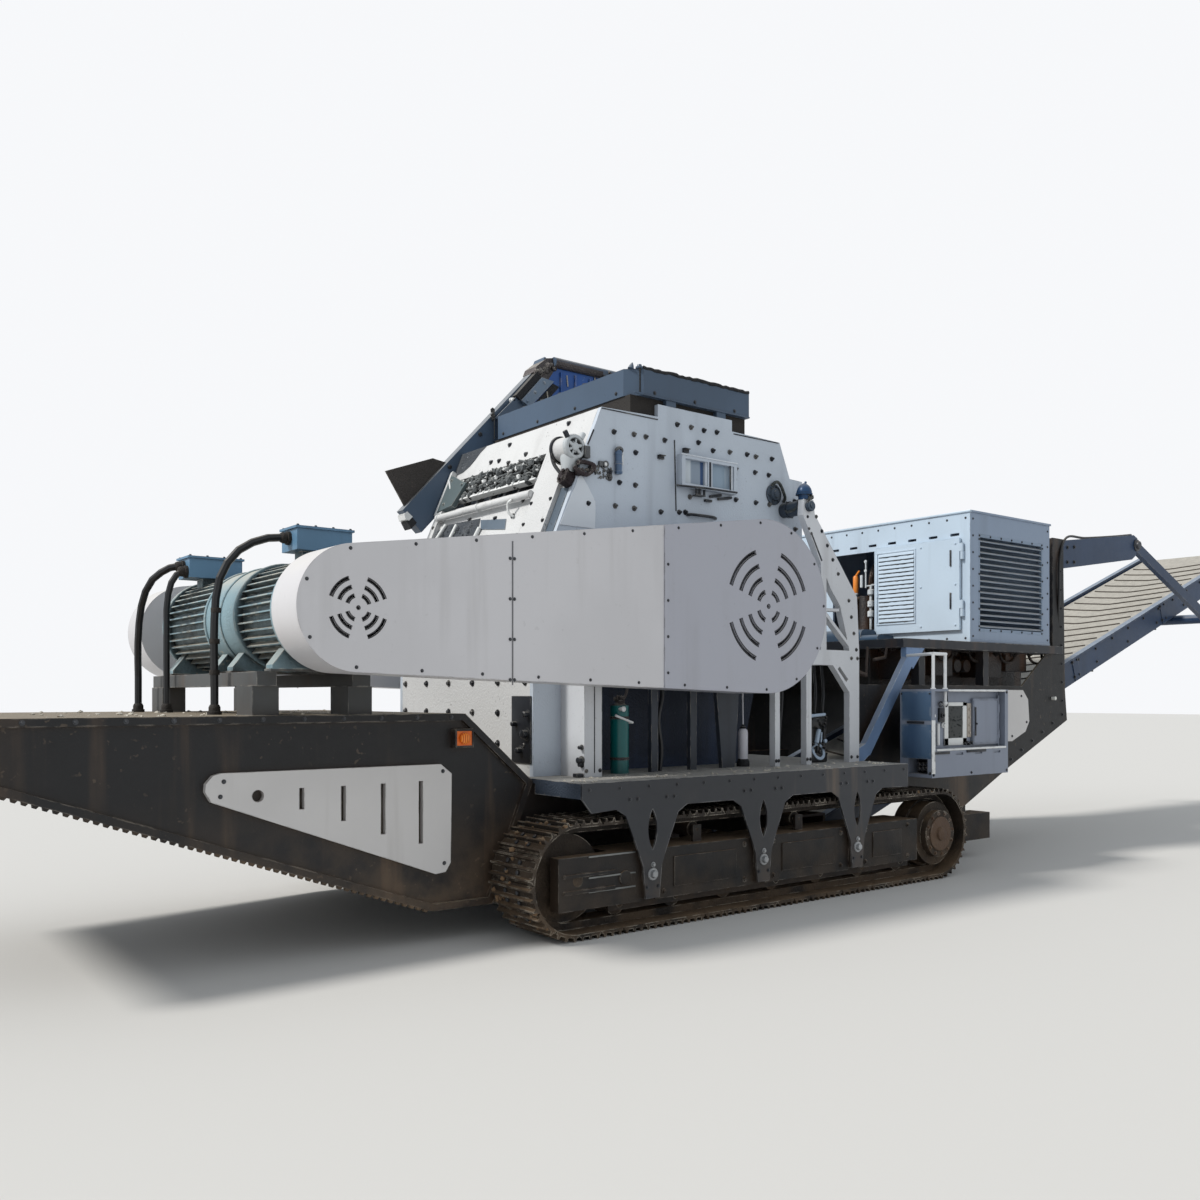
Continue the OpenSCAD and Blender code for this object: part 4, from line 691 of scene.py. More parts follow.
crusher_white = coat("crusher_white", srgb(190, 200, 212), 0.46, tone=0.05, runs=0.30,
                     run_colour=srgb(120, 126, 138), specks=0.30, speck_size=42, speck_colour=srgb(96, 98, 106),
                     dust=0.3, dust_colour=CHALK, chips=0.6, chip_colour=srgb(92, 92, 98), corner_shade=0.4,
                     dents=0.2, grain=0.12)
face_white = coat("face_white", srgb(208, 209, 210), 0.5, tone=0.05, runs=0.35, run_colour=srgb(140, 138, 136),
                  specks=0.60, speck_size=38, speck_colour=srgb(96, 94, 92), dust=0.3, dust_colour=CHALK,
                  chips=0.7, chip_colour=srgb(84, 80, 76), corner_shade=0.4, grain=0.2)
gusset_pale = coat("gusset_pale", srgb(214, 221, 229), 0.42, tone=0.04, runs=0.2,
                   run_colour=srgb(140, 144, 152), chips=0.4, chip_colour=srgb(92, 92, 98),
                   corner_shade=0.3, dents=0.1)
dark_iron = coat("dark_iron", srgb(46, 49, 56), 0.42, 0.4, tone=0.25, corner_shade=0.6, dust=0.3,
                 dust_colour=CHALK, chips=0.3)
wear(crusher_white, "crusher_sides", "crusher_rear", "crusher_roof")
wear(face_white, "crusher_front", "front_posts")
PLATE_Y = 1.000
liner_bolts = [(x, z, 0.014) for x, z in (
    (-3.623, 3.571), (-3.429, 3.581), (-3.312, 3.579), (-3.413, 3.445), (-3.571, 3.199), (-3.416, 3.198),
    (-3.865, 3.011), (-3.611, 3.020), (-3.426, 3.021), (-3.160, 3.022), (-2.905, 3.046), (-2.969, 3.039),
    (-3.121, 3.581), (-2.765, 3.614), (-2.606, 3.572), (-2.417, 3.586), (-2.218, 3.595), (-2.114, 3.590),
    (-2.347, 3.458), (-2.123, 3.458), (-2.856, 3.172), (-2.347, 3.207), (-2.114, 3.208), (-1.922, 3.597),
    (-1.960, 3.456), (-1.952, 3.209), (-1.639, 3.273), (-1.630, 3.033), (-2.990, 3.723), (-2.843, 3.723),
    (-2.705, 3.719), (-2.563, 3.726))] + [(-3.666, 3.265, 0.017), (-3.666, 3.223, 0.017)]
shape = bmesh.new()
for side in SIDES:
    out = Vector((0, side, 0))
    for x, z, head in liner_bolts:
        foot = Vector((x, side * PLATE_Y, z))
        turn(shape, foot, out, [(0, head * 1.5), (0.005, head * 1.5), (0.007, head * 1.3)], 18)
        turn(shape, foot + out * 0.005, out, [(0, head), (0.014, head), (0.017, head * 0.8)],
             6, random.random())
        turn(shape, foot + out * 0.020, out, [(0, head * 0.55), (0.010, head * 0.55), (0.012, head * 0.4)], 10)
    for x, z in ((-3.164, 3.441), (-2.905, 3.528)):
        side_slab(shape, side, (x - 0.030, x + 0.030), (PLATE_Y, 1.018), (z - 0.014, z + 0.014))
        side_slab(shape, side, (x - 0.030, x + 0.030), (PLATE_Y, 1.034), (z + 0.010, z + 0.018), 0.002)
place("liner_bolts", shape, dark_iron)
shape = bmesh.new()
for side in SIDES:
    gusset = [(-3.944, 3.215), (-4.121, 2.830), (-3.803, 2.830), (-3.797, 3.028),
              (-3.862, 3.128), (-3.921, 3.205)]
    side_plate(shape, gusset, side, PLATE_Y, 1.006)
place("corner_gussets", shape, gusset_pale, crease=20)
shape = bmesh.new()
for side in SIDES:
    for start, end, half in (((-3.018, 3.598), (-3.001, 3.045), 0.005),
                             ((-3.812, 3.560), (-3.868, 3.443), 0.006),
                             ((-3.740, 3.730), (-3.190, 3.730), 0.004),
                             ((-2.370, 3.742), (-1.840, 3.742), 0.004)):
        strip(shape, start, end, half, side, PLATE_Y, 1.004)
place("housing_seams", shape, dark_iron)


# Feed face. The housing's leaning front plate, painted white and pitted by falling rock, is bolted
# on with scattered liner bolts; the upright plate below it has rows of larger ones.
FRONT_X, FACE_FOOT = -4.350, 2.313
LEAN = math.atan2(0.613, 1.427)
FACE_UP = Vector((math.sin(LEAN), 0, math.cos(LEAN)))
FACE_OUT = Vector((-math.cos(LEAN), 0, math.sin(LEAN)))


def on_face(u, y, out=0.0):
    """A place on the leaning feed face, u up along it."""
    return Vector((FRONT_X, y, FACE_FOOT)) + FACE_UP * u + FACE_OUT * out


def face_plate(shape, outline, low, high):
    """A plate on the feed face, its outline in u and Y, from one height over the face to another."""
    prism(shape, [on_face(u, y, low) for u, y in outline], FACE_OUT * (high - low))


shape = bmesh.new()
for u, y in ((1.495, -0.623), (1.477, 0.190), (1.321, -0.138), (1.353, 0.402), (1.286, 0.095), (1.340, 0.269),
             (0.753, -0.035), (0.738, -0.295), (0.868, -0.367), (0.802, 0.386), (0.543, -0.459)):
    bolt(shape, on_face(u, y), FACE_OUT, 0.014)
for u in (0.42, 0.60, 0.78):
    for y in (-0.83, -0.58, 0.92):
        bolt(shape, on_face(u, y, 0.040), FACE_OUT, 0.010)
for z in spread(1.25, 2.15, 5):
    for y in spread(-0.90, 0.90, 6):
        bolt(shape, (FRONT_X, y, z), TAILWARD, 0.016)
place("face_bolts", shape, dark_iron)


# Lower front fittings. Round steel stubs and a small dark plate are welded to the housing's lower
# front, where they show between the deck and the belt guard.
shape = bmesh.new()
for y, z, r in ((-0.93, 1.33, 0.030), (-0.86, 1.21, 0.022), (-0.95, 1.47, 0.020), (-0.80, 1.40, 0.018)):
    turn(shape, (FRONT_X, y, z), TAILWARD,
         [(0, r * 1.5), (0.012, r * 1.5), (0.014, r), (0.05, r), (0.054, r * 0.7)], 18)
slab(shape, (FRONT_X - 0.012, -0.985, 1.12), (FRONT_X, -0.74, 1.60))
place("front_stubs", shape, dark_iron)


# The inspection box on each side plate: a welded frame with two dusty panes of glass behind it, whose
# pale and dark bands are painted reflection, pegs and a bar under its foot, and a short hose from its drain.
def rod(shape, start, end, radius, rim=0.004, sides=16):
    """A round bar between two points, with its rims broken."""
    run = Vector(end) - Vector(start)
    rim = min(rim, radius * 0.4, run.length * 0.3)
    turn(shape, start, run, [(0, radius - rim), (rim, radius), (run.length - rim, radius),
                             (run.length, radius - rim)], sides)


def hose(shape, points, radius, sides=10, steps=6):
    """A hose along a smooth route through its points."""
    points = [Vector(p) for p in points]
    ends = [points[0] * 2 - points[1]] + points + [points[-1] * 2 - points[-2]]
    route = []
    for a, b, c, d in zip(ends, ends[1:], ends[2:], ends[3:]):
        for k in range(steps):
            t = k / steps
            route.append(0.5 * (2 * b + (c - a) * t + (2 * a - 5 * b + 4 * c - d) * t * t
                                + (3 * b - a - 3 * c + d) * t ** 3))
    route.append(points[-1])
    side, up = square_to(route[1] - route[0])
    rings = []
    for k, centre in enumerate(route):
        ahead = route[min(k + 1, len(route) - 1)] - route[max(k - 1, 0)]
        ahead.normalize()
        side = (side - ahead * side.dot(ahead)).normalized()
        up = ahead.cross(side)
        rings.append([shape.verts.new(centre + (side * math.cos(a) + up * math.sin(a)) * radius)
                      for a in (2 * math.pi * j / sides for j in range(sides))])
    for first, second in zip(rings, rings[1:]):
        for j in range(sides):
            n = (j + 1) % sides
            shape.faces.new((first[j], first[n], second[n], second[j]))
    shape.faces.new(rings[0][::-1])
    shape.faces.new(rings[-1])


pane_glass, pane_tree, pane_shader, pane_at = bare_finish("pane_glass")
along = pane_at.dot((1, 0, 0))
film = pane_at.noise(6, 6, (1, 1, 0.3))
# Painted reflection: the panes' colour steps from pale to dark along X, with a dark blue band in the first
# pane.
pane_reflection_and_film = along.step(-2.880, -2.860).blend(srgb(196, 206, 214), srgb(136, 150, 166))
pane_reflection_and_film = (along.step(-2.772, -2.764) * along.step(-2.734, -2.740)).blend(pane_reflection_and_film, srgb(58, 82, 122))
pane_reflection_and_film = along.step(-2.700, -2.690).blend(pane_reflection_and_film, srgb(142, 162, 180))
pane_reflection_and_film = (film.step(0.52, 0.75) * 0.5).blend(pane_reflection_and_film, srgb(186, 192, 198))
pane_tree.links.new(pane_reflection_and_film.socket, pane_shader.inputs["Base Color"])
pane_tree.links.new((film * 0.25 + 0.05).socket, pane_shader.inputs["Roughness"])
shape = bmesh.new()
rails = bmesh.new()
strips = bmesh.new()
for side in SIDES:
    for x0, x1 in ((-2.960, -2.708), (-2.670, -2.419)):
        side_slab(shape, side, (x0, x1), (1.020, 1.026), (3.258, 3.462), 0.001)
    for x in (-2.722, -2.436):
        side_slab(strips, side, (x - 0.009, x + 0.009), (1.026, 1.050), (3.262, 3.458), 0.002)
    side_slab(strips, side, (-2.996, -2.382), (1.056, 1.066), (3.480, 3.490), 0.002)
    side_slab(rails, side, (-2.473, -2.461), (1.058, 1.064), (3.262, 3.458), 0.002)
    side_slab(rails, side, (-2.700, -2.680), (1.058, 1.064), (3.262, 3.458), 0.002)
    for (x0, z0), (x1, z1) in (((-3.047, 3.233), (-2.739, 3.246)), ((-2.739, 3.246), (-2.389, 3.250))):
        rod(rails, (x0, side * 1.062, z0), (x1, side * 1.062, z1), 0.008)
    for x in (-2.819, -2.786, -2.736):
        rod(rails, (x, side * 1.040, 3.188), (x, side * 1.040, 3.245), 0.010)
    side_slab(rails, side, (-2.829, -2.726), (PLATE_Y, 1.050), (3.182, 3.190), 0.002)
    side_slab(rails, side, (-2.703, -2.636), (PLATE_Y, 1.030), (3.150, 3.170), 0.004)
    for (x0, z0), (x1, z1) in (((-2.650, 3.196), (-2.520, 3.222)), ((-2.560, 3.186), (-2.405, 3.214))):
        rod(rails, (x0, side * 1.012, z0), (x1, side * 1.012, z1), 0.011)
    hose(rails, [(-2.891, side * 1.004, 3.028), (-2.860, side * 1.030, 3.029), (-2.793, side * 1.036, 3.029),
                 (-2.640, side * 1.030, 3.031), (-2.575, side * 1.004, 3.030)], 0.012)
place("inspection_panes", shape, pane_glass)
place("inspection_rails", rails, dark_iron)
place("inspection_strips", strips, gusset_pale)


# The feed slot. Packed stone and broken liner lie on a ledge across the opening, over the dark gap
# that the jaw shows through; a dark plate with pale ribs lies flat on the face under the tube rail as
# painted shade for a recess, and dark plates lie on the face at its far corner and beside the slot, the
# one by the post a strip of painted shade.
linkage_iron = coat("linkage_iron", srgb(92, 94, 96), 0.5, 0.3, tone=0.35, corner_shade=0.8,
                    dust=0.5, dust_colour=CHALK, specks=0.5, speck_size=46, speck_colour=srgb(40, 40, 42),
                    chips=0.5, grain=0.6)
stone_grey = coat("stone_grey", srgb(84, 88, 90), 0.85, tone=0.35, specks=1.0,
                  speck_size=38, speck_colour=srgb(214, 214, 210), dust=0.75, dust_colour=srgb(150, 152, 150),
                  corner_shade=0.9, grain=1.0)
recess_dark = coat("recess_dark", srgb(46, 52, 60), 0.6, tone=0.35, specks=0.8,
                   speck_size=34, speck_colour=srgb(150, 156, 162), runs=0.7, run_colour=srgb(120, 124, 128),
                   corner_shade=0.8, grain=0.8)
cheek_green = coat("cheek_green", srgb(78, 92, 96), 0.5, tone=0.12, runs=0.5, run_colour=srgb(70, 78, 80),
                   dust=0.5, dust_colour=CHALK, specks=0.4, speck_size=40, corner_shade=0.5, chips=0.5)
rib_pale = coat("rib_pale", srgb(224, 226, 226), 0.42, tone=0.08, runs=0.3, run_colour=srgb(130, 130, 130),
                corner_shade=0.5, chips=0.7, chip_colour=srgb(80, 80, 80), specks=0.3, speck_size=40)
wear(linkage_iron, "front_linkage", "jaw_plates")
STONES = 640
random.seed(5)


def lump(shape, at, size):
    """A rough stone or clod, a little squashed each way."""
    stone = bmesh.ops.create_icosphere(shape, subdivisions=1, radius=size)["verts"]
    squash = Vector([random.uniform(0.45, 1.25) for _ in range(3)])
    for v in stone:
        v.co = Vector(at) + Vector(v.co[i] * squash[i] for i in range(3)) * random.uniform(0.78, 1.18)


shape = bmesh.new()
pale = bmesh.new()
for k in range(STONES):
    y = random.uniform(-0.430, 0.800)
    size = 0.009 + 0.036 * random.random() ** 2.2
    u = min(random.uniform(1.050, 1.255), 1.262 - size)
    if k % 9:
        lump(shape, on_face(u, y, random.uniform(-0.032, 0.010)), size)
    else:
        lump(pale, on_face(u, y, random.uniform(0.000, 0.022)), size * 0.55)
for k in range(34):
    y, u = random.uniform(-0.35, 0.65), random.uniform(1.07, 1.23)
    end = on_face(u + random.uniform(-0.02, 0.04), y + random.uniform(0.06, 0.16), 0.016)
    rod(shape, on_face(u, y, 0.012), end, 0.009, sides=8)
face_plate(shape, [(1.030, -0.448), (1.262, -0.448), (1.262, 0.858), (1.030, 0.858)], -0.040, -0.028)
place("slot_stones", shape, stone_grey, crease=8)
place("slot_chalk", pale, rib_pale, crease=8)
shape = bmesh.new()
face_plate(shape, [(1.028, -0.450), (1.046, -0.450), (1.046, 0.860), (1.028, 0.860)], -0.040, 0.018)
for y in spread(-0.40, 0.82, 15):
    lump(shape, on_face(1.046, y, 0.010), 0.020)
rod(shape, on_face(1.253, 0.960, 0.050), on_face(1.015, 0.760, 0.020), 0.011)
face_plate(shape, [(0.905, 0.951), (1.345, 0.951), (1.330, 0.984), (0.905, 0.984)], 0.0005, 0.050)
place("slot_ledge", shape, rib_pale, crease=20)

# These dark plates lie flat on the face; the one under the tube rail is painted shade standing for a recess.
shape = bmesh.new()
face_plate(shape, [(0.660, 0.878), (0.765, 0.878), (0.805, 0.762), (0.789, 0.210), (0.583, 0.138),
                   (0.500, 0.138), (0.500, 0.878)], 0.0005, 0.006)
face_plate(shape, [(1.550, 0.600), (1.500, 0.668), (1.440, 0.712), (1.385, 0.766), (1.340, 0.850),
                   (1.322, 0.999), (1.550, 0.999)], 0.0005, 0.006)
for k in range(70):
    lump(shape, on_face(random.uniform(0.52, 0.76), random.uniform(0.16, 0.86), 0.006),
         random.uniform(0.008, 0.020))
place("feed_recess", shape, recess_dark, crease=10)
shape = bmesh.new()
for u0, y0, u1, y1 in ((0.539, 0.904, 0.797, 0.740), (0.490, 0.619, 0.769, 0.543),
                       (0.461, 0.193, 0.686, 0.128)):
    rod(shape, on_face(u0, y0, 0.012), on_face(u1, y1, 0.020), 0.017)
hose(shape, [on_face(0.835, -0.330, 0.075), on_face(0.800, -0.300, 0.080), on_face(0.740, -0.305, 0.050),
             on_face(0.722, -0.330, 0.010)], 0.010)
for y in (0.20, 0.84):
    ring(shape, on_face(0.860, y, 0.055), (0, 1, 0), 0.027, 0.033, 0.016, 24)
place("recess_ribs", shape, rib_pale)
# The narrow strip by the post, between Y -0.862 and -0.958, is painted shade.
shape = bmesh.new()
face_plate(shape, [(0.771, 0.191), (0.723, -0.216), (0.623, -0.259), (0.676, 0.130)], 0.0005, 0.005)
face_plate(shape, [(0.500, -0.862), (0.885, -0.862), (0.885, -0.958), (0.500, -0.958)], 0.0005, 0.006)
slate_patch_and_shade = coat("slate_patch_and_shade", srgb(84, 98, 112), 0.45, tone=0.15, runs=0.5, run_colour=srgb(62, 76, 92),
                   specks=0.4, speck_size=30, chips=0.5, corner_shade=0.5)
place("face_patches", shape, slate_patch_and_shade, crease=20)
shape = bmesh.new()
face_plate(shape, [(0.934, 0.950), (1.300, 0.950), (1.266, 0.863), (1.170, 0.620),
                   (0.966, 0.728)], 0.0005, 0.048)
for u, y in ((1.24, 0.90), (1.00, 0.88), (1.16, 0.68)):
    bolt(shape, on_face(u, y, 0.048), FACE_OUT, 0.010)
place("feed_cheek", shape, cheek_green, crease=20)


# The pivot boss on its fork: a cast end ring with a spoked hub over a thin dark disc of painted shade,
# a dark flange behind, a neck down to a rusty nut block, and a rusty shackle on the side plate beside it.
boss_white = coat("boss_white", srgb(196, 202, 206), 0.45, tone=0.2, corner_shade=1.0, specks=0.9, speck_size=34,
                  runs=0.6, chips=0.8, chip_colour=SOOT, dust=0.3, dust_colour=CHALK)
maroon_rust = coat("maroon_rust", srgb(50, 38, 42), 0.55, 0.3, tone=0.35, corner_shade=0.7, specks=0.5, speck_size=50,
                   speck_colour=srgb(110, 92, 88), chips=0.4, grain=0.9)
BOSS, NECK = on_face(1.150, -0.990, 0.098), on_face(1.090, -0.945, 0.070)
RIGHT = Vector((0, -1, 0))
shape = bmesh.new()
hoop(shape, BOSS, RIGHT, [(-0.012, 0.060), (-0.012, 0.092), (0.018, 0.092), (0.026, 0.084), (0.026, 0.064),
                          (0.018, 0.060)], 36)
turn(shape, BOSS, RIGHT, [(0, 0.034), (0.022, 0.032), (0.028, 0.024), (0.028, 0.010)], 24)
for angle, thick in ((15, 0.015), (78, 0.011), (152, 0.017), (205, 0.012), (248, 0.010), (318, 0.016)):
    spoke = outward(math.radians(angle))
    rod(shape, BOSS + spoke * 0.020 + RIGHT * 0.009, BOSS + spoke * 0.070 + RIGHT * 0.009, thick)
for k in range(20):
    way = outward(math.radians(random.uniform(0, 360)))
    lump(shape, BOSS + way * random.uniform(0.030, 0.088) + RIGHT * 0.010, random.uniform(0.007, 0.013))
rod(shape, BOSS + Vector((0.052, -0.010, 0.062)), BOSS + Vector((0.080, -0.010, 0.108)), 0.022)
turn(shape, NECK, on_face(0.975, -0.945, 0.045) - NECK,
     [(0, 0.074), (0.03, 0.072), (0.10, 0.048), (0.115, 0.044)], 24)
place("pivot_boss", shape, boss_white)
shape = bmesh.new()
# A thin dark disc inside the end ring is painted shade in the pockets between the spokes.
turn(shape, BOSS, RIGHT, [(0, 0.058), (0.003, 0.058)], 30)
hoop(shape, BOSS + Vector((0, 0.145, 0)), (0, 1, 0),
     [(0, 0.086), (0, 0.104), (0.016, 0.106), (0.020, 0.100), (0.020, 0.086)], 32)
rod(shape, BOSS + Vector((-0.060, -0.008, 0.062)), BOSS + Vector((-0.088, -0.008, 0.106)), 0.019)
hose(shape, [on_face(1.180, -0.815, 0.150), on_face(1.110, -0.805, 0.150), on_face(1.030, -0.830, 0.115),
             on_face(0.965, -0.890, 0.070)], 0.014)
place("boss_flange", shape, dark_iron)
shape = bmesh.new()
face_plate(shape, [(0.985, -0.985), (0.985, -0.905), (0.950, -0.880), (0.885, -0.900), (0.868, -0.945),
                   (0.885, -0.985), (0.935, -0.995)], 0.002, 0.080)
for u, y in ((0.965, -0.950), (0.905, -0.930), (0.905, -0.972)):
    bolt(shape, on_face(u, y, 0.080), FACE_OUT, 0.016)
for k in range(16):
    lump(shape, on_face(random.uniform(0.87, 0.98), random.uniform(-0.985, -0.90),
                        random.uniform(0.05, 0.085)), 0.016)
links = [(-4.014, 3.261), (-3.974, 3.220), (-3.893, 3.216), (-3.834, 3.279), (-3.916, 3.301), (-3.985, 3.290)]
hose(shape, [(x, -1.030 - 0.010 * (k % 2), z) for k, (x, z) in enumerate(links)], 0.017, 10, 5)
rod(shape, (-3.850, -1.000, 3.268), (-3.850, -1.052, 3.268), 0.022)
rod(shape, (-3.955, -0.990, 3.224), (-3.955, -1.050, 3.224), 0.026)
for k in range(14):
    lump(shape, (random.uniform(-3.99, -3.88), -1.034, random.uniform(3.215, 3.255)),
         random.uniform(0.008, 0.016))
place("shackle", shape, maroon_rust, crease=20)


# The adjuster. A slate rod in steel rings stands on the side plate beside the boss, among a round
# socket, a looped hose, welded tabs and caked dirt, with a pale strip beside the rod as a painted highlight.
ROD_X, ROD_Y, SOCKET = -3.596, -1.024, (-3.708, -1.000, 3.317)
shape = bmesh.new()
slab(shape, (-3.915, -1.034, 3.335), (-3.865, -1.000, 3.425), 0.006)
slab(shape, (-3.772, -1.022, 3.296), (-3.740, -1.000, 3.334), 0.004)
ring(shape, SOCKET, RIGHT, 0.016, 0.026, 0.018, 20)
hose(shape, [(-3.620, -1.020, 3.428), (-3.612, -1.034, 3.444), (-3.590, -1.036, 3.450), (-3.566, -1.028, 3.438),
             (-3.562, -1.014, 3.424)], 0.012)
for k in range(60):
    x = random.uniform(-3.83, -3.64)
    lump(shape, (x, -1.004, random.uniform(3.205, 3.300)), random.uniform(0.006, 0.013))
place("adjuster_clutter", shape, linkage_iron, crease=12)
shape = bmesh.new()
rod(shape, (ROD_X, ROD_Y, 3.255), (ROD_X, ROD_Y, 3.430), 0.026)
for z in (3.262, 3.330, 3.400):
    ring(shape, (ROD_X, ROD_Y, z), UP, 0.024, 0.030, 0.014, 20)
rod_slate = coat("rod_slate", srgb(86, 110, 140), 0.35, 0.2, tone=0.2, corner_shade=0.6, runs=0.6,
                 run_colour=srgb(44, 52, 66), chips=0.5)
place("adjuster_rod", shape, rod_slate)
shape = bmesh.new()
# The pale narrow strip on the rod's right is a painted highlight.
slab(shape, (-3.551, -1.010, 3.334), (-3.537, -1.000, 3.439), 0.003)
turn(shape, SOCKET, RIGHT, [(0, 0.015), (0.014, 0.015), (0.017, 0.010)], 18)
place("adjuster_socket_and_highlight", shape, rib_pale)


# The rear pivots. A cast disc and a capped pin in bolted rings behind the housing, with a blue
# greaser dome on the leaning post's head, a wedge block under it and two short hoses.
boss_blue = coat("boss_blue", srgb(62, 74, 88), 0.42, 0.2, tone=0.2, corner_shade=0.8, dust=0.3, dust_colour=CHALK,
                 chips=0.5, chip_colour=srgb(44, 44, 48), specks=0.5, speck_size=44)
dome_blue = coat("dome_blue", srgb(26, 58, 92), 0.35, 0.2, tone=0.4, corner_shade=0.9, dust=0.2, dust_colour=CHALK,
                 chips=0.5, chip_colour=SOOT, specks=0.4, speck_size=50)
wedge_green = coat("wedge_green", srgb(44, 52, 52), 0.5, 0.2, tone=0.35, corner_shade=0.8, specks=0.8, speck_size=46,
                   speck_colour=srgb(96, 96, 76), chips=0.5, grain=0.7)
wear(boss_blue, "hinge_bosses")
DISC, PIN, DOME = Vector((-1.900, 0, 3.300)), Vector((-1.775, 0, 3.175)), Vector((-1.797, 0, 3.232))
DOME_Y, PIN_RING = 1.250, 0.068
shape = bmesh.new()
domes = bmesh.new()
wedges = bmesh.new()
for side in SIDES:
    out = Vector((0, side, 0))
    turn(shape, PIN + out * 1.306, out,
         [(0, 0.040), (0.006, 0.044), (0.012, 0.040), (0.012, 0.020), (0.020, 0.018)], 24)
    turn(shape, DISC + out * PLATE_Y, out, [(0, 0.088), (0.010, 0.088), (0.016, 0.080), (0.016, 0.056),
                                            (0.030, 0.050), (0.034, 0.030), (0.044, 0.026)], 30)
    bolt_circle(shape, DISC + out * 1.016, out, PIN_RING, 6, 0.008, first=10)
    hose(wedges, [(-1.933, side * 1.012, 3.372), (-1.915, side * 1.032, 3.394), (-1.885, side * 1.036, 3.402),
                  (-1.847, side * 1.034, 3.380), (-1.812, side * 1.034, 3.327), (-1.790, side * 1.032, 3.280),
                  (-1.777, side * 1.006, 3.250)], 0.013)
    turn(domes, DOME + out * DOME_Y, UP, [(0, 0.048), (0.040, 0.052), (0.046, 0.064), (0.064, 0.066),
                                          (0.090, 0.058), (0.112, 0.044), (0.128, 0.026), (0.136, 0.010)], 12)
    ring(domes, DOME + Vector((0, side * DOME_Y, 0.038)), UP, 0.060, 0.070, 0.014, 28)
    rod(domes, (-1.786, side * DOME_Y, 3.358), (-1.776, side * DOME_Y, 3.386), 0.010)
    for k in range(9):
        lump(wedges, (random.uniform(-1.85, -1.75), side * 1.300, random.uniform(3.235, 3.300)),
             random.uniform(0.009, 0.016))
    for y in (1.055, 1.185):
        ring(shape, PIN + out * y, out, 0.058, 0.070, 0.024, 32)
        for k in range(6):
            way = outward(math.radians(60 * k))
            bolt(shape, PIN + out * (y + 0.012) + way * PIN_RING, way, 0.007)
    hose(wedges, [(-1.830, side * 1.075, 3.160), (-1.858, side * 1.120, 3.140), (-1.850, side * 1.180, 3.150),
                  (-1.822, side * 1.215, 3.190)], 0.010)
    wedge = [(-1.735, 3.310), (-1.668, 3.290), (-1.650, 3.190), (-1.720, 3.126),
             (-1.790, 3.140), (-1.775, 3.215)]
    side_plate(wedges, wedge, side, 1.160, 1.220)
    for k in range(22):
        lump(wedges, (random.uniform(-1.77, -1.67), side * 1.222, random.uniform(3.150, 3.290)),
             random.uniform(0.010, 0.020))
    rod(wedges, (-1.700, side * 1.160, 3.200), (-1.700, side * 1.000, 3.200), 0.030)
place("rear_pivots", shape, boss_blue)
place("greaser_domes", domes, dome_blue)
place("pivot_wedges", wedges, wedge_green, crease=20)


# Collar and hood. Slate-blue channel round the feed opening, a leaning box beam on the far side
# with a rusty head block and a sleeved rail, and a vivid blue wind plate streaked with chalk.
steel_blue = coat("steel_blue", srgb(69, 87, 108), 0.40, tone=0.08, runs=0.3, run_colour=srgb(58, 64, 74),
                  dust=0.5, dust_colour=CHALK, specks=0.25, speck_size=42, chips=0.6,
                  chip_colour=srgb(44, 44, 48), corner_shade=0.4, dents=0.2)
vivid_blue = coat("vivid_blue", srgb(28, 84, 160), 0.32, tone=0.25, runs=1.0, run_colour=srgb(16, 34, 70),
                  specks=0.4, speck_size=44, speck_colour=srgb(150, 180, 210), chips=0.6, corner_shade=0.5)
head_rust = coat("head_rust", srgb(86, 80, 80), 0.55, 0.25, tone=0.35, specks=0.9,
                 speck_size=40, speck_colour=srgb(40, 36, 38), runs=0.5, corner_shade=0.7, dust=0.5, dust_colour=CHALK,
                 chips=0.6, grain=0.9)
black_rubber_and_shade = coat("black_rubber_and_shade", srgb(26, 28, 32), 0.7, tone=0.2, dust=0.25, dust_colour=CHALK, grain=0.6)
flap_brown = coat("flap_brown", srgb(62, 57, 54), 0.7, tone=0.25, runs=0.6, run_colour=srgb(40, 34, 32),
                  specks=0.5, speck_size=30, speck_colour=srgb(120, 106, 92), dust=0.4, corner_shade=0.5,
                  chips=0.4, grain=0.6)
wear(steel_blue, "top_collar", "inlet_hood")
wear(flap_brown, "feed_flap")
COLLAR_TOP = 4.100
shape = bmesh.new()
for x in (-3.22, -2.80, -2.36):
    for side in SIDES:
        bolt(shape, (x, side * PLATE_Y, 3.930), (0, side, 0), 0.009)
for y in spread(-0.80, 0.80, 4):
    bolt(shape, (-3.440, y, 3.930), TAILWARD, 0.009)
for y in (0.593, 0.319, 0.062, -0.279):
    turn(shape, (-3.345, y, COLLAR_TOP), UP,
         [(0, 0.020), (0.022, 0.020), (0.026, 0.026), (0.040, 0.026), (0.044, 0.016)], 14)
place("collar_bolts", shape, bolt_steel)
shape = bmesh.new()
turn(shape, (-3.352, -0.975, COLLAR_TOP), UP, [(0, 0.030), (0.012, 0.030), (0.016, 0.020), (0.030, 0.016)], 16)
turn(shape, (-3.400, -0.930, COLLAR_TOP), (0.3, 0, 1), [(0, 0.026), (0.03, 0.016), (0.052, 0.004)], 12)
for side in SIDES:
    side_slab(shape, side, (-3.430, -2.191), (PLATE_Y, 1.010), (3.895, 3.907), 0.002)
place("collar_lip", shape, steel_blue)
shape = bmesh.new()
random.seed(17)
for y in (-0.996, 0.996):
    line = [(x, y + random.uniform(-0.006, 0.006), COLLAR_TOP + 0.003 + random.uniform(-0.003, 0.008))
            for x in spread(-3.330, -2.195, 32)]
    hose(shape, line, 0.015, 8, 2)
slab(shape, (-3.374, -1.0025, 3.914), (-3.360, -0.998, 4.098), 0.001)
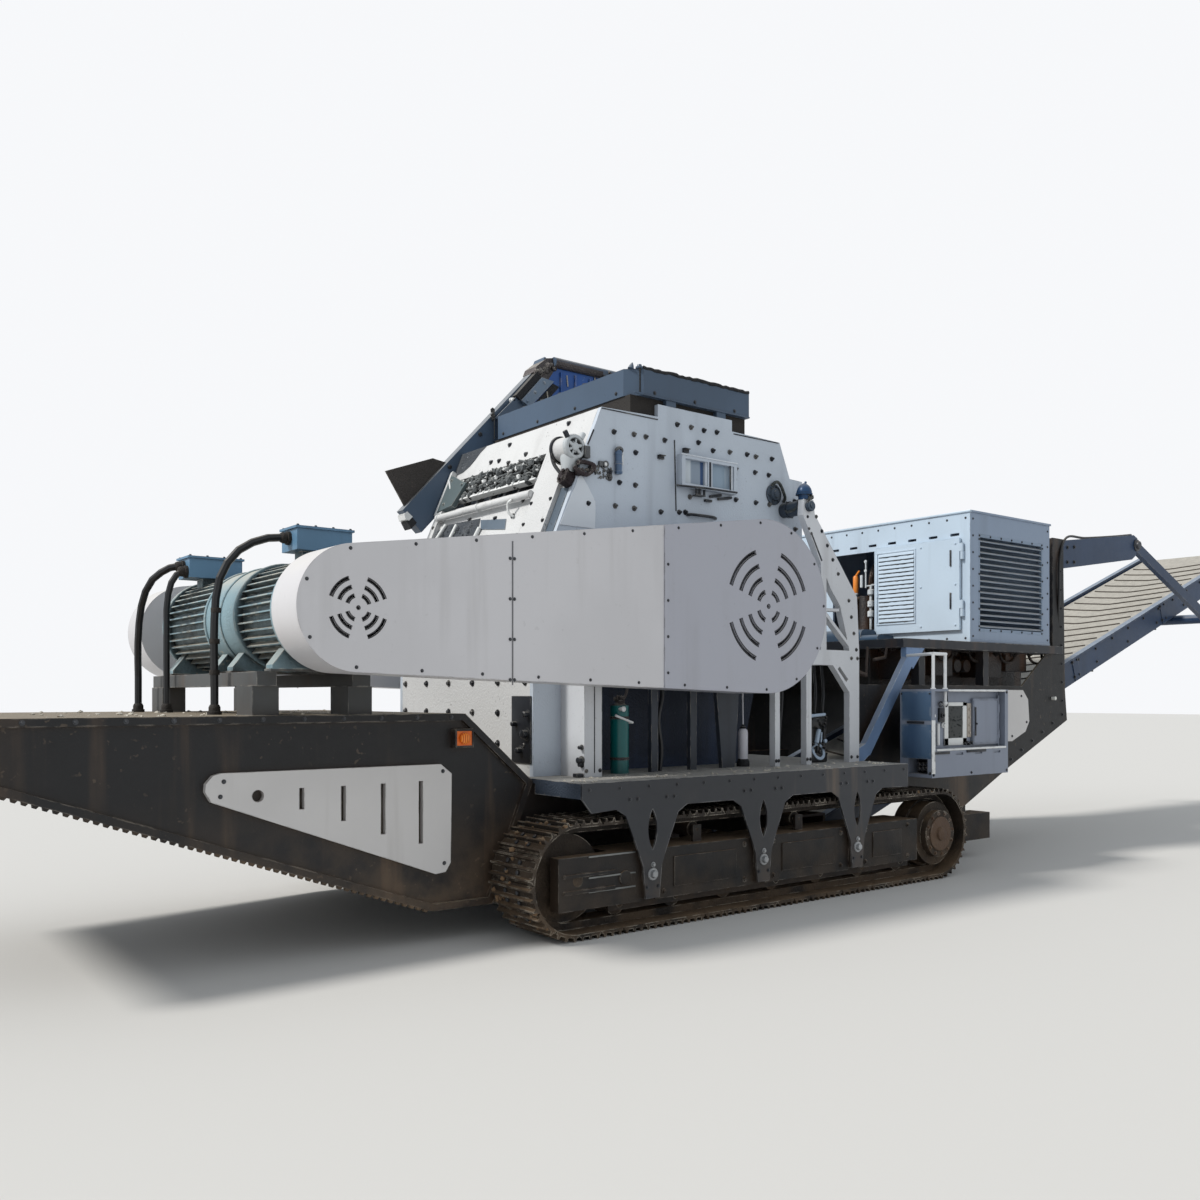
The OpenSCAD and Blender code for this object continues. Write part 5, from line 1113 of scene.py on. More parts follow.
slab(shape, (-3.441, 0.945, 3.912), (-3.436, 0.957, 4.106), 0.001)
for k in range(9):
    lump(shape, (-3.44 + 0.002 * k, 0.97 + 0.004 * k, COLLAR_TOP + 0.010 * k), 0.022)
place("collar_rubber", shape, black_rubber_and_shade, crease=20)

shape = bmesh.new()
sheet_plate(shape, [(-3.166, 4.298), (-2.942, 4.547), (-2.805, 4.534), (-3.077, 4.251)], 0.915, 1.000)
for x, z in ((-3.105, 4.300), (-3.020, 4.395), (-2.915, 4.500)):
    bolt(shape, (x, 0.915, z), RIGHT, 0.010)
bar_slate = coat("bar_slate", srgb(112, 130, 150), 0.4, tone=0.1, runs=0.3, run_colour=srgb(60, 70, 84),
                 dust=0.4, dust_colour=CHALK, chips=0.5, corner_shade=0.4)
place("hood_bar", shape, bar_slate)
shape = bmesh.new()
# The black strip along the beam beside the bar is painted shade, for the dark gap between them.
sheet_plate(shape, [(-3.220, 4.340), (-2.985, 4.600), (-2.942, 4.556), (-3.172, 4.304)], 0.930, 1.000)
sheet_plate(shape, [(-3.060, 4.246), (-2.800, 4.520), (-2.730, 4.500), (-2.960, 4.250)], 0.938, 0.953)
turn(shape, (-3.210, 0.998, 4.180), RIGHT,
     [(0, 0.034), (0.020, 0.034), (0.026, 0.026), (0.050, 0.024), (0.054, 0.014)], 18)
BEAM_FOOT, BEAM_LENGTH, BEAM_HALF = Vector((-4.237, 0.998, 3.099)), 2.073, 0.085
beam_way = Vector((1.420, 0, 1.510)).normalized()
beam_square = Vector((-beam_way.z, 0, beam_way.x))
for t in (0.30, 0.52):
    at = BEAM_FOOT + beam_way * BEAM_LENGTH * t + beam_square * BEAM_HALF
    turn(shape, at, RIGHT, [(0, 0.018), (0.012, 0.018), (0.016, 0.012)], 14)
sheet_plate(shape, [(-4.290, 3.096), (-4.240, 3.132), (-4.196, 3.090), (-4.250, 3.030)], 0.994, 1.110)
place("hood_rubber_and_shade", shape, black_rubber_and_shade, crease=20)
shape = bmesh.new()
turn(shape, (-3.225, 0.998, 4.301), RIGHT,
     [(0, 0.030), (0.018, 0.030), (0.022, 0.022), (0.040, 0.020), (0.044, 0.012)], 8)
sheet_plate(shape, [(-4.318, 3.150), (-4.290, 3.176), (-4.238, 3.136), (-4.272, 3.100),
                    (-4.305, 3.105)], 0.990, 1.110)
rod(shape, (-3.895, 1.055, 3.538), (-4.093, 1.055, 3.142), 0.018)
place("hood_knobs", shape, rib_pale)
shape = bmesh.new()
sheet_plate(shape, [(-3.010, 4.594), (-2.985, 4.650), (-2.870, 4.745), (-2.800, 4.760), (-2.722, 4.752),
                    (-2.735, 4.690), (-2.795, 4.566), (-2.900, 4.512)], 0.945, 1.135)
for k in range(46):
    at = Vector((-2.990, 0.945, 4.590)).lerp(Vector((-2.760, 0.945, 4.715)), random.random())
    at += Vector((random.uniform(-0.02, 0.03), 0, random.uniform(-0.04, 0.02)))
    lump(shape, at, random.uniform(0.012, 0.026))
RAIL_Y = 0.940
sleeve = ((-2.790, 4.7195), (-2.600, 4.719), (-2.400, 4.7185), (-2.240, 4.718))
hose(shape, [(x, RAIL_Y, z) for x, z in sleeve], 0.0492, 14, 4)
for k in range(26):
    at = (random.uniform(-2.24, -1.97), RAIL_Y + random.uniform(-0.035, 0.02),
          4.720 + random.uniform(-0.045, 0.015))
    lump(shape, at, random.uniform(0.014, 0.028))
for a, b in (((-2.180, 0.890, 4.732), (-2.020, 0.880, 4.640)),
             ((-2.235, 0.905, 4.690), (-2.150, 0.890, 4.620))):
    rod(shape, a, b, 0.014)
place("hood_head", shape, head_rust, crease=24)
shape = bmesh.new()
sheet_plate(shape, [(-3.060, 4.244), (-2.746, 4.700), (-2.050, 4.700), (-2.050, 4.104),
                    (-3.100, 4.104)], 0.944, 0.9535)
for x in (-2.72, -2.55, -2.38, -2.21):
    slab(shape, (x, 0.928, 4.110), (x + 0.016, 0.944, 4.640), 0.003)
place("hood_face", shape, vivid_blue)
shape = bmesh.new()
for x, z in ((-2.63, 4.52), (-2.30, 4.60), (-2.46, 4.40), (-2.86, 4.36)):
    rod(shape, (x, 0.938, z), (x - 0.012, 0.938, z + random.uniform(0.06, 0.12)), 0.006, sides=8)
for x, z in ((-2.93, 4.20), (-2.66, 4.27), (-2.41, 4.33)):
    turn(shape, (x, 0.950, z), RIGHT, [(0, 0.018), (0.016, 0.018), (0.020, 0.010)], 12)
place("hood_chalk", shape, chalk)


# Support frames. Pale painted columns and a girder stand over the deck with leaning posts, welded
# up from plate and bolted at their feet; bay posts painted dark as painted shade, a navy chute and an
# oily pump set are behind them, and pale blue braces hold the engine's platform.
column_grey = coat("column_grey", srgb(206, 209, 214), 0.42,
                   tone=0.06, runs=0.4, run_colour=srgb(128, 126, 126), dust=0.6, dust_colour=CHALK, chips=0.6,
                   chip_colour=srgb(80, 76, 74), corner_shade=0.5, specks=0.2, speck_size=44, dents=0.12)
# The bay posts' dark grey is painted shade: they stand deeper in the bay than the pale columns.
bay_shade_grey = coat("bay_shade_grey", srgb(48, 54, 64), 0.5, tone=0.2, runs=0.7, run_colour=srgb(26, 28, 34), corner_shade=0.8,
                dust=0.25, dust_colour=CHALK, chips=0.4, specks=0.4, speck_size=40)
chute_navy = coat("chute_navy", srgb(26, 36, 54), 0.42, 0.2, tone=0.3, runs=0.5, run_colour=srgb(40, 62, 96),
                  corner_shade=0.6, dust=0.3, specks=0.3, speck_size=40, speck_colour=srgb(80, 84, 90), grain=0.3)
oily = coat("oily", srgb(42, 40, 40), 0.38, 0.3, tone=0.4, runs=0.6, run_colour=srgb(96, 64, 40), corner_shade=0.6,
            dust=0.5, specks=0.5, speck_size=44, speck_colour=srgb(120, 88, 60), grain=0.5)
brace_blue = coat("brace_blue", srgb(112, 138, 174), 0.4, tone=0.15, runs=0.6, run_colour=srgb(84, 104, 136),
                  dust=0.6, dust_colour=CHALK, chips=1.0, chip_colour=srgb(214, 220, 226),
                  corner_shade=0.5, dents=0.12)
wear(column_grey, "support_frames")
wear(brace_blue, "platform_braces")
wear(bay_shade_grey, "deck_columns")
wear(chute_navy, "discharge_chute")
wear(oily, "pump_set", "engine_block")
COLUMN_FACE, GIRDER_FOOT = 1.280, 1.862
shape = bmesh.new()
for side in SIDES:
    out = (0, side, 0)
    for x in (-4.09, -3.97, -2.165, -2.137, -1.790, -1.752, -1.225, -1.145):
        bolt(shape, (x, side * COLUMN_FACE, 1.075), out, 0.009)
    for start, end, count in (((-1.16, 2.00), (-1.26, 2.42), 4), ((-1.40, 2.64), (-1.68, 3.10), 5)):
        for x, z in row(start, end, count):
            bolt(shape, (x, side * COLUMN_FACE, z), out, 0.010)
    for x in (-4.07, -3.99, -1.225, -1.145):
        bolt(shape, (x, side * COLUMN_FACE, 1.925), out, 0.010)
    for x, z in ((-1.787, 3.089), (-1.770, 2.991), (-1.740, 2.953)):
        bolt(shape, (x, side * COLUMN_FACE, z), out, 0.008)
place("frame_bolts", shape, dark_iron)
shape = bmesh.new()
for side in SIDES:
    for start, end, half in (((-1.738, 2.950), (-1.610, 2.735), 0.007),
                             ((-4.020, 1.060), (-4.020, 1.860), 0.003)):
        strip(shape, start, end, half, side, 1.2795, 1.2835)
place("frame_seams", shape, dark_iron)
shape = bmesh.new()
for side in SIDES:
    y = side * 1.255
    for x, z, r, long in ((-4.140, 1.150, 0.022, 0.04), (-4.190, 1.120, 0.016, 0.03),
                          (-4.150, 1.240, 0.014, 0.03)):
        turn(shape, (-4.109, y, z), TAILWARD,
             [(0, r * 1.4), (0.008, r * 1.4), (0.010, r), (long, r), (long + 0.004, r * 0.7)], 14)
    side_slab(shape, side, (-4.170, -4.112), (1.225, 1.275), (DECK_TOP, 1.060))
place("column_fittings", shape, dark_iron)


# Gas bottle and canister. A teal steel bottle with a rusty valve head and a white canister stand
# in the open bay under the guard, strapped in rings, with their lines up to the girder.
rail_white = coat("rail_white", srgb(226, 228, 230), 0.35, tone=0.05, chips=0.4,
                  chip_colour=srgb(80, 80, 82), corner_shade=0.3)
teal = coat("teal", srgb(0, 108, 108), 0.3, tone=0.25, runs=0.8, run_colour=srgb(0, 36, 44), corner_shade=0.8,
            chips=0.4, chip_colour=srgb(150, 150, 146), low=0.35, low_top=1.25, dents=0.1)
canister_white = coat("canister_white", srgb(206, 206, 214), 0.35, tone=0.08, runs=0.4, corner_shade=0.4, chips=0.4)
wear(teal, "gas_cylinders")
BOTTLE_X, CANISTER_X, BOTTLE_Y = -3.648, -2.362, -1.100
shape = bmesh.new()
ring(shape, (CANISTER_X, BOTTLE_Y, 1.090), UP, 0.0375, 0.0395, 0.212, 28)
turn(shape, (CANISTER_X, BOTTLE_Y, 1.302), UP,
     [(0, 0.0395), (0.020, 0.036), (0.034, 0.022), (0.040, 0.020)], 24)
rod(shape, (CANISTER_X, BOTTLE_Y, 1.360), (CANISTER_X - 0.010, BOTTLE_Y, GIRDER_FOOT), 0.006)
place("canister_sleeve", shape, canister_white)
shape = bmesh.new()
hoop(shape, (CANISTER_X, BOTTLE_Y, DECK_TOP), UP,
     [(0, 0.036), (0, 0.052), (0.040, 0.052), (0.060, 0.042), (0.060, 0.036)], 28)
turn(shape, (CANISTER_X, BOTTLE_Y, 1.336), UP, [(0, 0.024), (0.016, 0.024), (0.020, 0.014), (0.034, 0.012)], 20)
place("canister_fittings", shape, black_rubber_and_shade)
shape = bmesh.new()
turn(shape, (BOTTLE_X, BOTTLE_Y, 1.520), UP, [(0, 0.060), (0.016, 0.050), (0.026, 0.034), (0.036, 0.030)], 28)
for k in range(12):
    at = (BOTTLE_X + random.uniform(-0.05, 0.04), BOTTLE_Y + random.uniform(-0.03, 0.03),
          random.uniform(1.552, 1.590))
    lump(shape, at, random.uniform(0.016, 0.028))
hose(shape, [(BOTTLE_X + 0.03, BOTTLE_Y, 1.575), (-3.585, BOTTLE_Y, 1.620), (-3.560, BOTTLE_Y, 1.740),
             (-3.556, BOTTLE_Y, GIRDER_FOOT)], 0.012)
for z in (1.130, 1.430):
    ring(shape, (BOTTLE_X, BOTTLE_Y, z), UP, 0.066, 0.071, 0.020, 28)
place("bottle_head", shape, head_rust, crease=24)
shape = bmesh.new()
turn(shape, (-3.682, -1.163, 1.505), RIGHT,
     [(-0.02, 0.014), (0.016, 0.014), (0.020, 0.020), (0.030, 0.020), (0.034, 0.012)], 18)
rod(shape, (-3.741, -1.165, 1.459), (-3.572, -1.165, 1.403), 0.009)
for x, z in ((-3.736, 1.457), (-3.577, 1.405)):
    rod(shape, (x, -1.170, z), ((x + BOTTLE_X) / 2, -1.125, z), 0.008)
place("bottle_valve", shape, rail_white)


# Machine bay. A dirty valve block with pipes and pale fittings stands on the deck behind the
# columns, and rubber hoses rise from the deck to the girder.
shape = bmesh.new()
pale = bmesh.new()
for side in SIDES:
    y = side * 1.100
    side_slab(shape, side, (-1.590, -1.370), (1.06, 1.14), (DECK_TOP, 1.110), 0.012)
    side_slab(shape, side, (-1.565, -1.362), (1.07, 1.13), (1.320, 1.413), 0.020)
    for x in (-1.54, -1.46, -1.38):
        rod(shape, (x, y, 1.10), (x + 0.01, y, 1.33), 0.020)
    for k in range(34):
        x, deep = random.uniform(-1.58, -1.36), side * random.uniform(0.0, 0.045)
        z = random.choice((random.uniform(1.33, 1.43), random.uniform(1.08, 1.20)))
        lump(shape, (x, y + deep, z), random.uniform(0.012, 0.026))
    for x in (-1.60, -1.50, -1.40):
        hose(shape, [(x, y, 1.40), (x - 0.01, y + side * 0.02, 1.52), (x + 0.02, y, 1.66),
                     (x + 0.03, y - side * 0.03, GIRDER_FOOT)], 0.012)
    hoop(pale, (-1.480, y, 1.115), (0, side, 0.35),
         [(0.02, 0.052), (0.02, 0.078), (0.036, 0.078), (0.036, 0.052)], 26)
    rod(pale, (-1.585, side * 1.135, 1.429), (-1.400, side * 1.135, 1.441), 0.014)
    rod(pale, (-1.510, side * 1.135, 1.196), (-1.478, side * 1.135, 1.315), 0.020)
    rod(pale, (-1.448, side * 1.130, 1.200), (-1.440, side * 1.130, 1.290), 0.010)
    turn(pale, (-1.385, side * 1.120, 1.211), (0, side, 0), [(0, 0.018), (0.014, 0.018), (0.020, 0.010)], 16)
    hose(shape, [(-3.255, y, DECK_TOP), (-3.240, y, 1.20), (-3.270, y, 1.42), (-3.230, y, 1.62),
                 (-3.255, y, GIRDER_FOOT)], 0.016)
    hose(shape, [(-1.950, y, DECK_TOP), (-1.940, y, 1.22), (-1.905, y, 1.55), (-1.900, y, GIRDER_FOOT)], 0.014)
place("bay_hoses", shape, cable_black, crease=24)
fitting_blue = coat("fitting_blue", srgb(176, 194, 214), 0.35, tone=0.15, corner_shade=0.6, runs=0.4,
                    specks=0.4, speck_size=40)
place("bay_fittings", pale, fitting_blue)


# Engine house. Pale blue-white sheet housing, screwed at its seams, with painted shade making it
# darker along its length than on its tail end, with a louvred door on two pins, an open doorway on to
# dark machinery, and a framed radiator grille.
# Past X 0.668 the paint turns a darker blue: painted shade on every face but the tail end.
house_blue = coat("house_blue", srgb(188, 205, 221), 0.36, shade_patch=(0.668, srgb(138, 154, 176)), tone=0.04,
                  runs=0.25, run_colour=srgb(104, 112, 122), dust=0.5, dust_colour=srgb(222, 230, 236),
                  chips=0.5, chip_colour=srgb(60, 62, 66), corner_shade=0.3, dents=0.3, specks=0.08, speck_size=44)
grille_blue = coat("grille_blue", srgb(132, 150, 172), 0.36, tone=0.05, runs=0.3,
                   corner_shade=0.6, run_colour=srgb(60, 64, 72), dust=0.6, dust_colour=CHALK, chips=0.4,
                   chip_colour=srgb(60, 62, 66))
platform_black = coat("platform_black", srgb(38, 40, 46), 0.5, tone=0.2, runs=0.7, run_colour=srgb(84, 64, 48),
                      dust=0.6, corner_shade=0.4, chips=0.5)
tank_blue = coat("tank_blue", srgb(42, 68, 92), 0.35, tone=0.15, runs=0.6, run_colour=srgb(30, 44, 60),
                 dust=0.15, dust_colour=CHALK, corner_shade=0.4, chips=0.5, specks=0.3, speck_size=40)
wear(house_blue, "engine_house", "engine_door")
wear(grille_blue, "radiator_grille")
wear(platform_black, "engine_platform")
wear(tank_blue, "fuel_tank")
HX0, HX1, HY, HZ0, HZ1 = 0.662, 2.111, 1.200, 2.127, 3.395
shape = bmesh.new()
screws = [((x, -HY, z), RIGHT) for x in spread(HX0 + 0.16, HX1 - 0.15, 7) for z in (HZ0 + 0.125, HZ1 - 0.215)]
screws += [((x, -HY, z), RIGHT) for z in spread(HZ0 + 0.16, HZ1 - 0.25, 6) for x in (HX0 + 0.155, HX1 - 0.14)]
screws += [((HX0, y, z), TAILWARD) for y in spread(0.05 - HY, HY - 0.05, 12) for z in (HZ1 - 0.05, HZ0 + 0.04)]
for z in spread(HZ0 + 0.06, HZ1 - 0.06, 8):
    screws += [((HX0 + 0.05, -HY, z), RIGHT), ((HX1 - 0.04, -HY, z), RIGHT), ((HX0, HY - 0.05, z), TAILWARD)]
for at, out in screws:
    bolt(shape, at, out, 0.007)
place("house_screws", shape, bolt_steel)
shape = bmesh.new()
slab(shape, (HX0 - 0.014, -HY - 0.014, HZ1), (HX1 + 0.014, HY + 0.014, HZ1 + 0.022), 0.006)
slab(shape, (HX0 + 0.10, -HY + 0.12, HZ1 + 0.022), (HX1 - 0.10, HY - 0.12, HZ1 + 0.034), 0.005)
slab(shape, (HX0 + 0.004, -HY - 0.006, HZ0 - 0.002), (HX1, -HY, HZ0 + 0.03), 0.003)
place("house_roof", shape, house_blue)


# Doorway machinery. Oily steel pipes, an orange filter and pale round fittings of the engine show
# in the open doorway, behind four thin rails.
shape = bmesh.new()
for z in spread(2.33, 3.06, 4):
    slab(shape, (HX0 + 0.04, -1.10, z), (HX0 + 0.06, -0.14, z + 0.02), 0.003)
hose(shape, [(0.80, 0.05, 2.16), (0.78, 0.06, 2.45), (0.80, 0.10, 2.70), (0.86, 0.12, 2.95),
             (0.95, 0.10, 3.05)], 0.030)
hose(shape, [(0.76, 0.34, 2.20), (0.75, 0.36, 2.44), (0.78, 0.34, 2.60), (0.90, 0.30, 2.68)], 0.026)
turn(shape, (0.83, 0.42, 2.16), UP, [(0, 0.06), (0.02, 0.07), (0.38, 0.07), (0.42, 0.055), (0.46, 0.03)], 24)
for z in (2.36, 2.62, 2.90):
    ring(shape, (0.812, -0.02, z), UP, 0.020, 0.052, 0.03, 24)
rod(shape, (0.812, -0.02, 2.130), (0.812, -0.02, 3.00), 0.021)
place("doorway_pipes", shape, oily)
shape = bmesh.new()
turn(shape, (0.740, 0.254, 2.716), UP, [(0, 0.024), (0.010, 0.029), (0.170, 0.029), (0.187, 0.020)], 24)
rod(shape, (0.740, 0.254, 2.900), (0.800, 0.254, 2.960), 0.012)
filter_orange = coat("filter_orange", srgb(222, 132, 48), 0.4, tone=0.15, corner_shade=0.5, runs=0.5, specks=0.4)
place("doorway_filter", shape, filter_orange)
shape = bmesh.new()
turn(shape, (0.740, 0.251, 2.695), UP, [(0, 0.020), (0.006, 0.026), (0.018, 0.026), (0.022, 0.020)], 20)
rod(shape, (0.740, 0.173, 2.768), (0.740, 0.173, 2.904), 0.018)
for z in (3.045, 2.946):
    turn(shape, (0.740, 0.117, z), TAILWARD, [(0, 0.018), (0.010, 0.018), (0.014, 0.010)], 16)
for z0, z1 in ((2.430, 2.535), (2.537, 2.642), (2.666, 2.764)):
    turn(shape, (0.735, 0.045, z0 + 0.010), UP,
         [(0, 0.024), (0.010, 0.038), (z1 - z0 - 0.040, 0.038), (z1 - z0 - 0.030, 0.022)], 20)
rod(shape, (0.735, 0.045, 2.300), (0.735, 0.045, 2.780), 0.016)
rod(shape, (0.735, 0.045, 2.780), (0.812, -0.02, 2.800), 0.014)
rod(shape, (0.740, 0.117, 2.760), (0.740, 0.117, 3.060), 0.010)
rod(shape, (0.740, 0.117, 2.780), (0.812, -0.02, 2.790), 0.010)
place("doorway_fittings", shape, boss_white)


# Louvred door. Lips pressed from the door's own sheet, each over a dark line of painted shade, in a
# thin frame, with a small latch, two slits drawn as dark blocks of painted shade and a few screws; all
# of it swings with the door.
DOOR_X = 0.626
shape = bmesh.new()
# Painted shade: two dark blocks stand for the slits, and a dark line under each lip for its gap.
for z0, z1 in ((2.460, 2.620), (2.880, 3.040)):
    slab(shape, (DOOR_X - 0.010, -1.016, z0), (DOOR_X, -1.000, z1), 0.002)
random.seed(23)
louvres = [2.366 + 0.0425 * k for k in range(17)]
for z in louvres:
    gap_shade = [(0.6205, y, z + random.uniform(-0.004, 0.004)) for y in spread(-0.575, -0.145, 14)]
    hose(shape, gap_shade, 0.0042, 6, 3)
place("door_gap_shade", shape, dark_iron, body="engine_door")
shape = bmesh.new()
for z in louvres:
    profile = [(DOOR_X, z + 0.041), (0.6245, z + 0.041), (0.614, z + 0.008), (0.614, z + 0.004),
               (DOOR_X, z + 0.004)]
    sheet_plate(shape, profile, -0.580, -0.140)
slab(shape, (0.6245, -0.586, 2.352), (0.627, -0.134, 2.372), 0.0005)
slab(shape, (0.614, -0.132, 2.630), (DOOR_X, -0.112, 2.690), 0.003)
place("louvre_lips", shape, house_blue, body="engine_door", crease=20)
shape = bmesh.new()
for y0, y1, z0, z1 in ((-0.60, -0.585, 2.355, 3.085), (-0.125, -0.110, 2.355, 3.085),
                       (-0.60, -0.11, 2.340, 2.355), (-0.60, -0.11, 3.085, 3.100)):
    slab(shape, (DOOR_X - 0.008, y0, z0), (DOOR_X, y1, z1), 0.002)
for y in (-1.06, -0.66):
    for z in (2.30, 2.70, 3.10):
        bolt(shape, (DOOR_X, y, z), TAILWARD, 0.008)
place("louvre_frame", shape, house_blue, body="engine_door")


# Underside of the platform. Rusty pipes, looped hoses and caked dirt hang in the shade under the
# engine's platform.
PLATFORM_FOOT = 2.045
shape = bmesh.new()
for x0, z0, x1, z1, r in ((-1.004, 1.847, -0.750, 1.785, 0.022), (-0.640, 1.930, -0.471, 1.956, 0.016)):
    rod(shape, (x0, -1.060, z0), (x1, -1.060, z1), r)
    rod(shape, (x1, -1.060, z1), (x1 + 0.02, -1.060, PLATFORM_FOOT), 0.012)
for k in range(40):
    lump(shape, (random.uniform(-0.40, 2.20), random.uniform(-1.10, -0.85), PLATFORM_FOOT - 0.005),
         random.uniform(0.018, 0.040))
for x in spread(-0.20, 2.00, 5):
    hose(shape, [(x, -1.02, PLATFORM_FOOT), (x + 0.02, -1.05, 1.97), (x + 0.12, -1.06, 1.945),
                 (x + 0.24, -1.04, 1.98), (x + 0.27, -1.02, PLATFORM_FOOT)], 0.014)
pipe_rust = coat("pipe_rust", srgb(56, 47, 43), 0.6, 0.2, tone=0.4, specks=0.7, speck_size=36, corner_shade=0.7,
                 grain=0.8, dust=0.3)
place("underside_pipes", shape, pipe_rust, crease=24)


# Control cabinet. A pale steel box with a recess for the screen and switches, two riveted panels
# folded from sheet whose dark blue is painted shade, a plug port in its side, and a white tube handrail.
cabinet_blue = coat("cabinet_blue", srgb(128, 136, 152), 0.36,
                    tone=0.04, runs=0.35, run_colour=srgb(96, 100, 108), dust=0.4, dust_colour=CHALK, chips=0.6,
                    chip_colour=srgb(60, 62, 66), corner_shade=0.4, dents=0.15)
side_shade_blue = coat("side_shade_blue", srgb(74, 99, 127), 0.36, tone=0.08, runs=0.4, run_colour=srgb(36, 60, 96),
                 chips=0.4, chip_colour=srgb(150, 160, 170), corner_shade=0.3, dents=0.15)
wear(cabinet_blue, "control_cabinet", "cabinet_door")
wear(rail_white, "handrail")
RECESS, FRONT = -1.630, -1.700
# The side panels cover the cabinet's tail-facing side; their dark blue is painted shade.
shape = bmesh.new()
for z0, z1 in ((1.056, 1.352), (1.386, 1.640)):
    slab(shape, (-0.6705, -1.692, z0), (-0.667, -1.388, z1), 0.001)
    slab(shape, (-0.6725, -1.680, z0 + 0.012), (-0.6695, -1.400, z1 - 0.012), 0.001)
    for y in (-1.686, -1.540, -1.394):
        for z in (z0 + 0.006, z1 - 0.006):
            turn(shape, (-0.670, y, z), TAILWARD, [(0, 0.005), (0.002, 0.004)], 8)
place("cabinet_side_panel", shape, side_shade_blue)
shape = bmesh.new()
for x0, x1, z0, z1 in ((-0.399, -0.342, 1.162, 1.545), (-0.124, -0.062, 1.162, 1.545),
                       (-0.399, -0.062, 1.511, 1.545), (-0.399, -0.062, 1.162, 1.226)):
    slab(shape, (x0, RECESS - 0.012, z0), (x1, RECESS, z1), 0.003)
slab(shape, (-0.430, -1.703, 1.640), (0.470, -1.693, 1.658), 0.003)
slab(shape, (-0.672, -1.703, 0.925), (-0.622, FRONT, 1.390), 0.001)
slab(shape, (-0.600, -1.706, 1.120), (0.470, -1.696, 1.138), 0.003)
rod(shape, (-0.498, RECESS - 0.012, 1.168), (-0.498, RECESS - 0.012, 1.361), 0.016)
turn(shape, (-0.413, RECESS, 1.343), RIGHT, [(0, 0.026), (0.012, 0.026), (0.018, 0.018), (0.030, 0.016)], 18)
place("screen_frame", shape, rib_pale)
shape = bmesh.new()
slab(shape, (-0.344, RECESS - 0.008, 1.224), (-0.122, RECESS, 1.513), 0.002)
for k in range(60):
    lump(shape, (random.uniform(-0.335, -0.131), RECESS - 0.008, random.uniform(1.234, 1.503)),
         random.uniform(0.004, 0.009))
screen_dark = coat("screen_dark", srgb(24, 32, 34), 0.22, tone=0.3, specks=1.0, speck_size=80,
                   speck_colour=srgb(74, 96, 92))
place("screen", shape, screen_dark, crease=12)
shape = bmesh.new()
slab(shape, (-0.050, RECESS - 0.010, 1.229), (0.010, RECESS, 1.535), 0.003)
for z in (1.27, 1.34, 1.41, 1.48):
    turn(shape, (-0.020, RECESS - 0.010, z), RIGHT, [(0, 0.012), (0.008, 0.012), (0.011, 0.008)], 14)
plate_beige = coat("plate_beige", srgb(168, 160, 150), 0.45, tone=0.12, runs=0.5,
                   run_colour=srgb(120, 96, 76), corner_shade=0.4)
place("switch_plate", shape, plate_beige)
shape = bmesh.new()
slab(shape, (-0.626, -1.709, 1.092), (-0.416, FRONT, 1.114), 0.004)
slab(shape, (-0.156, -1.709, 1.096), (0.143, FRONT, 1.120), 0.004)
slab(shape, (-0.6745, -1.623, 1.358), (-0.668, -1.444, 1.380), 0.002)
hose(shape, [(-0.460 + 0.028 * math.cos(a), RECESS - 0.014, 1.528 + 0.022 * math.sin(a))
             for a in spread(0, 14.4, 13)], 0.005)
slab(shape, (-0.484, RECESS - 0.020, 1.370), (-0.404, RECESS, 1.495), 0.006)
ring(shape, (-0.444, RECESS - 0.020, 1.430), RIGHT, 0.012, 0.024, 0.012, 20)
hose(shape, [(-0.378, RECESS - 0.016, 1.503), (-0.376, RECESS - 0.022, 1.560),
             (-0.378, RECESS - 0.016, 1.636)], 0.007)
for x, z in ((-0.100, 1.172), (-0.070, 1.186), (-0.035, 1.168), (0.002, 1.180)):
    rod(shape, (x, RECESS, z), (x, RECESS - 0.030, z), 0.012)
for z in (0.96, 1.00):
    for y in (-1.60, -1.56, -1.52):
        turn(shape, (-0.518, y, z), TAILWARD,
             [(0, 0.014), (0.05, 0.014), (0.055, 0.018), (0.09, 0.018), (0.094, 0.012)], 12)
for x, z in ((-0.645, 0.915), (0.485, 0.915), (0.485, 1.635), (-0.08, 0.915)):
    bolt(shape, (x, FRONT, z), RIGHT, 0.008)
for y in (-1.68, -1.39):
    for z in (0.93, 1.62):
        bolt(shape, (-0.668, y, z), TAILWARD, 0.008)
slab(shape, (-0.530, -1.655, 0.922), (-0.520, -1.456, 1.050), 0.002)
place("cabinet_fittings", shape, dark_iron)
shape = bmesh.new()
for x, z in ((-0.605, 1.420), (-0.430, 1.530)):
    turn(shape, (x, -1.668, z - 0.004), UP, [(0, 0.022), (0.020, 0.022), (0.026, 0.017)], 18)
    turn(shape, (x, -1.668, 1.660), UP, [(0, 0.024), (0.006, 0.024), (0.012, 0.018)], 18)
place("rail_collars", shape, rail_white)


# Cabinet door. A thin raised rim of the same sheet runs round the small steel door, with a dark
# latch bar and its pin; both swing with the door.
shape = bmesh.new()
slab(shape, (0.034, -1.668, 1.24), (0.052, -1.658, 1.50), 0.003)
turn(shape, (0.046, -1.668, 1.35), RIGHT, [(0, 0.010), (0.010, 0.010), (0.013, 0.007)], 16)
place("cabinet_latch", shape, dark_iron, body="cabinet_door")
shape = bmesh.new()
for x0, x1, z0, z1 in ((0.03, 0.402, 1.560, 1.568), (0.03, 0.402, 1.170, 1.178), (0.024, 0.032, 1.178, 1.560),
                       (0.396, 0.404, 1.178, 1.560)):
    slab(shape, (x0, -1.661, z0), (x1, -1.658, z1), 0.001)
place("cabinet_door_rim", shape, cabinet_blue, body="cabinet_door")


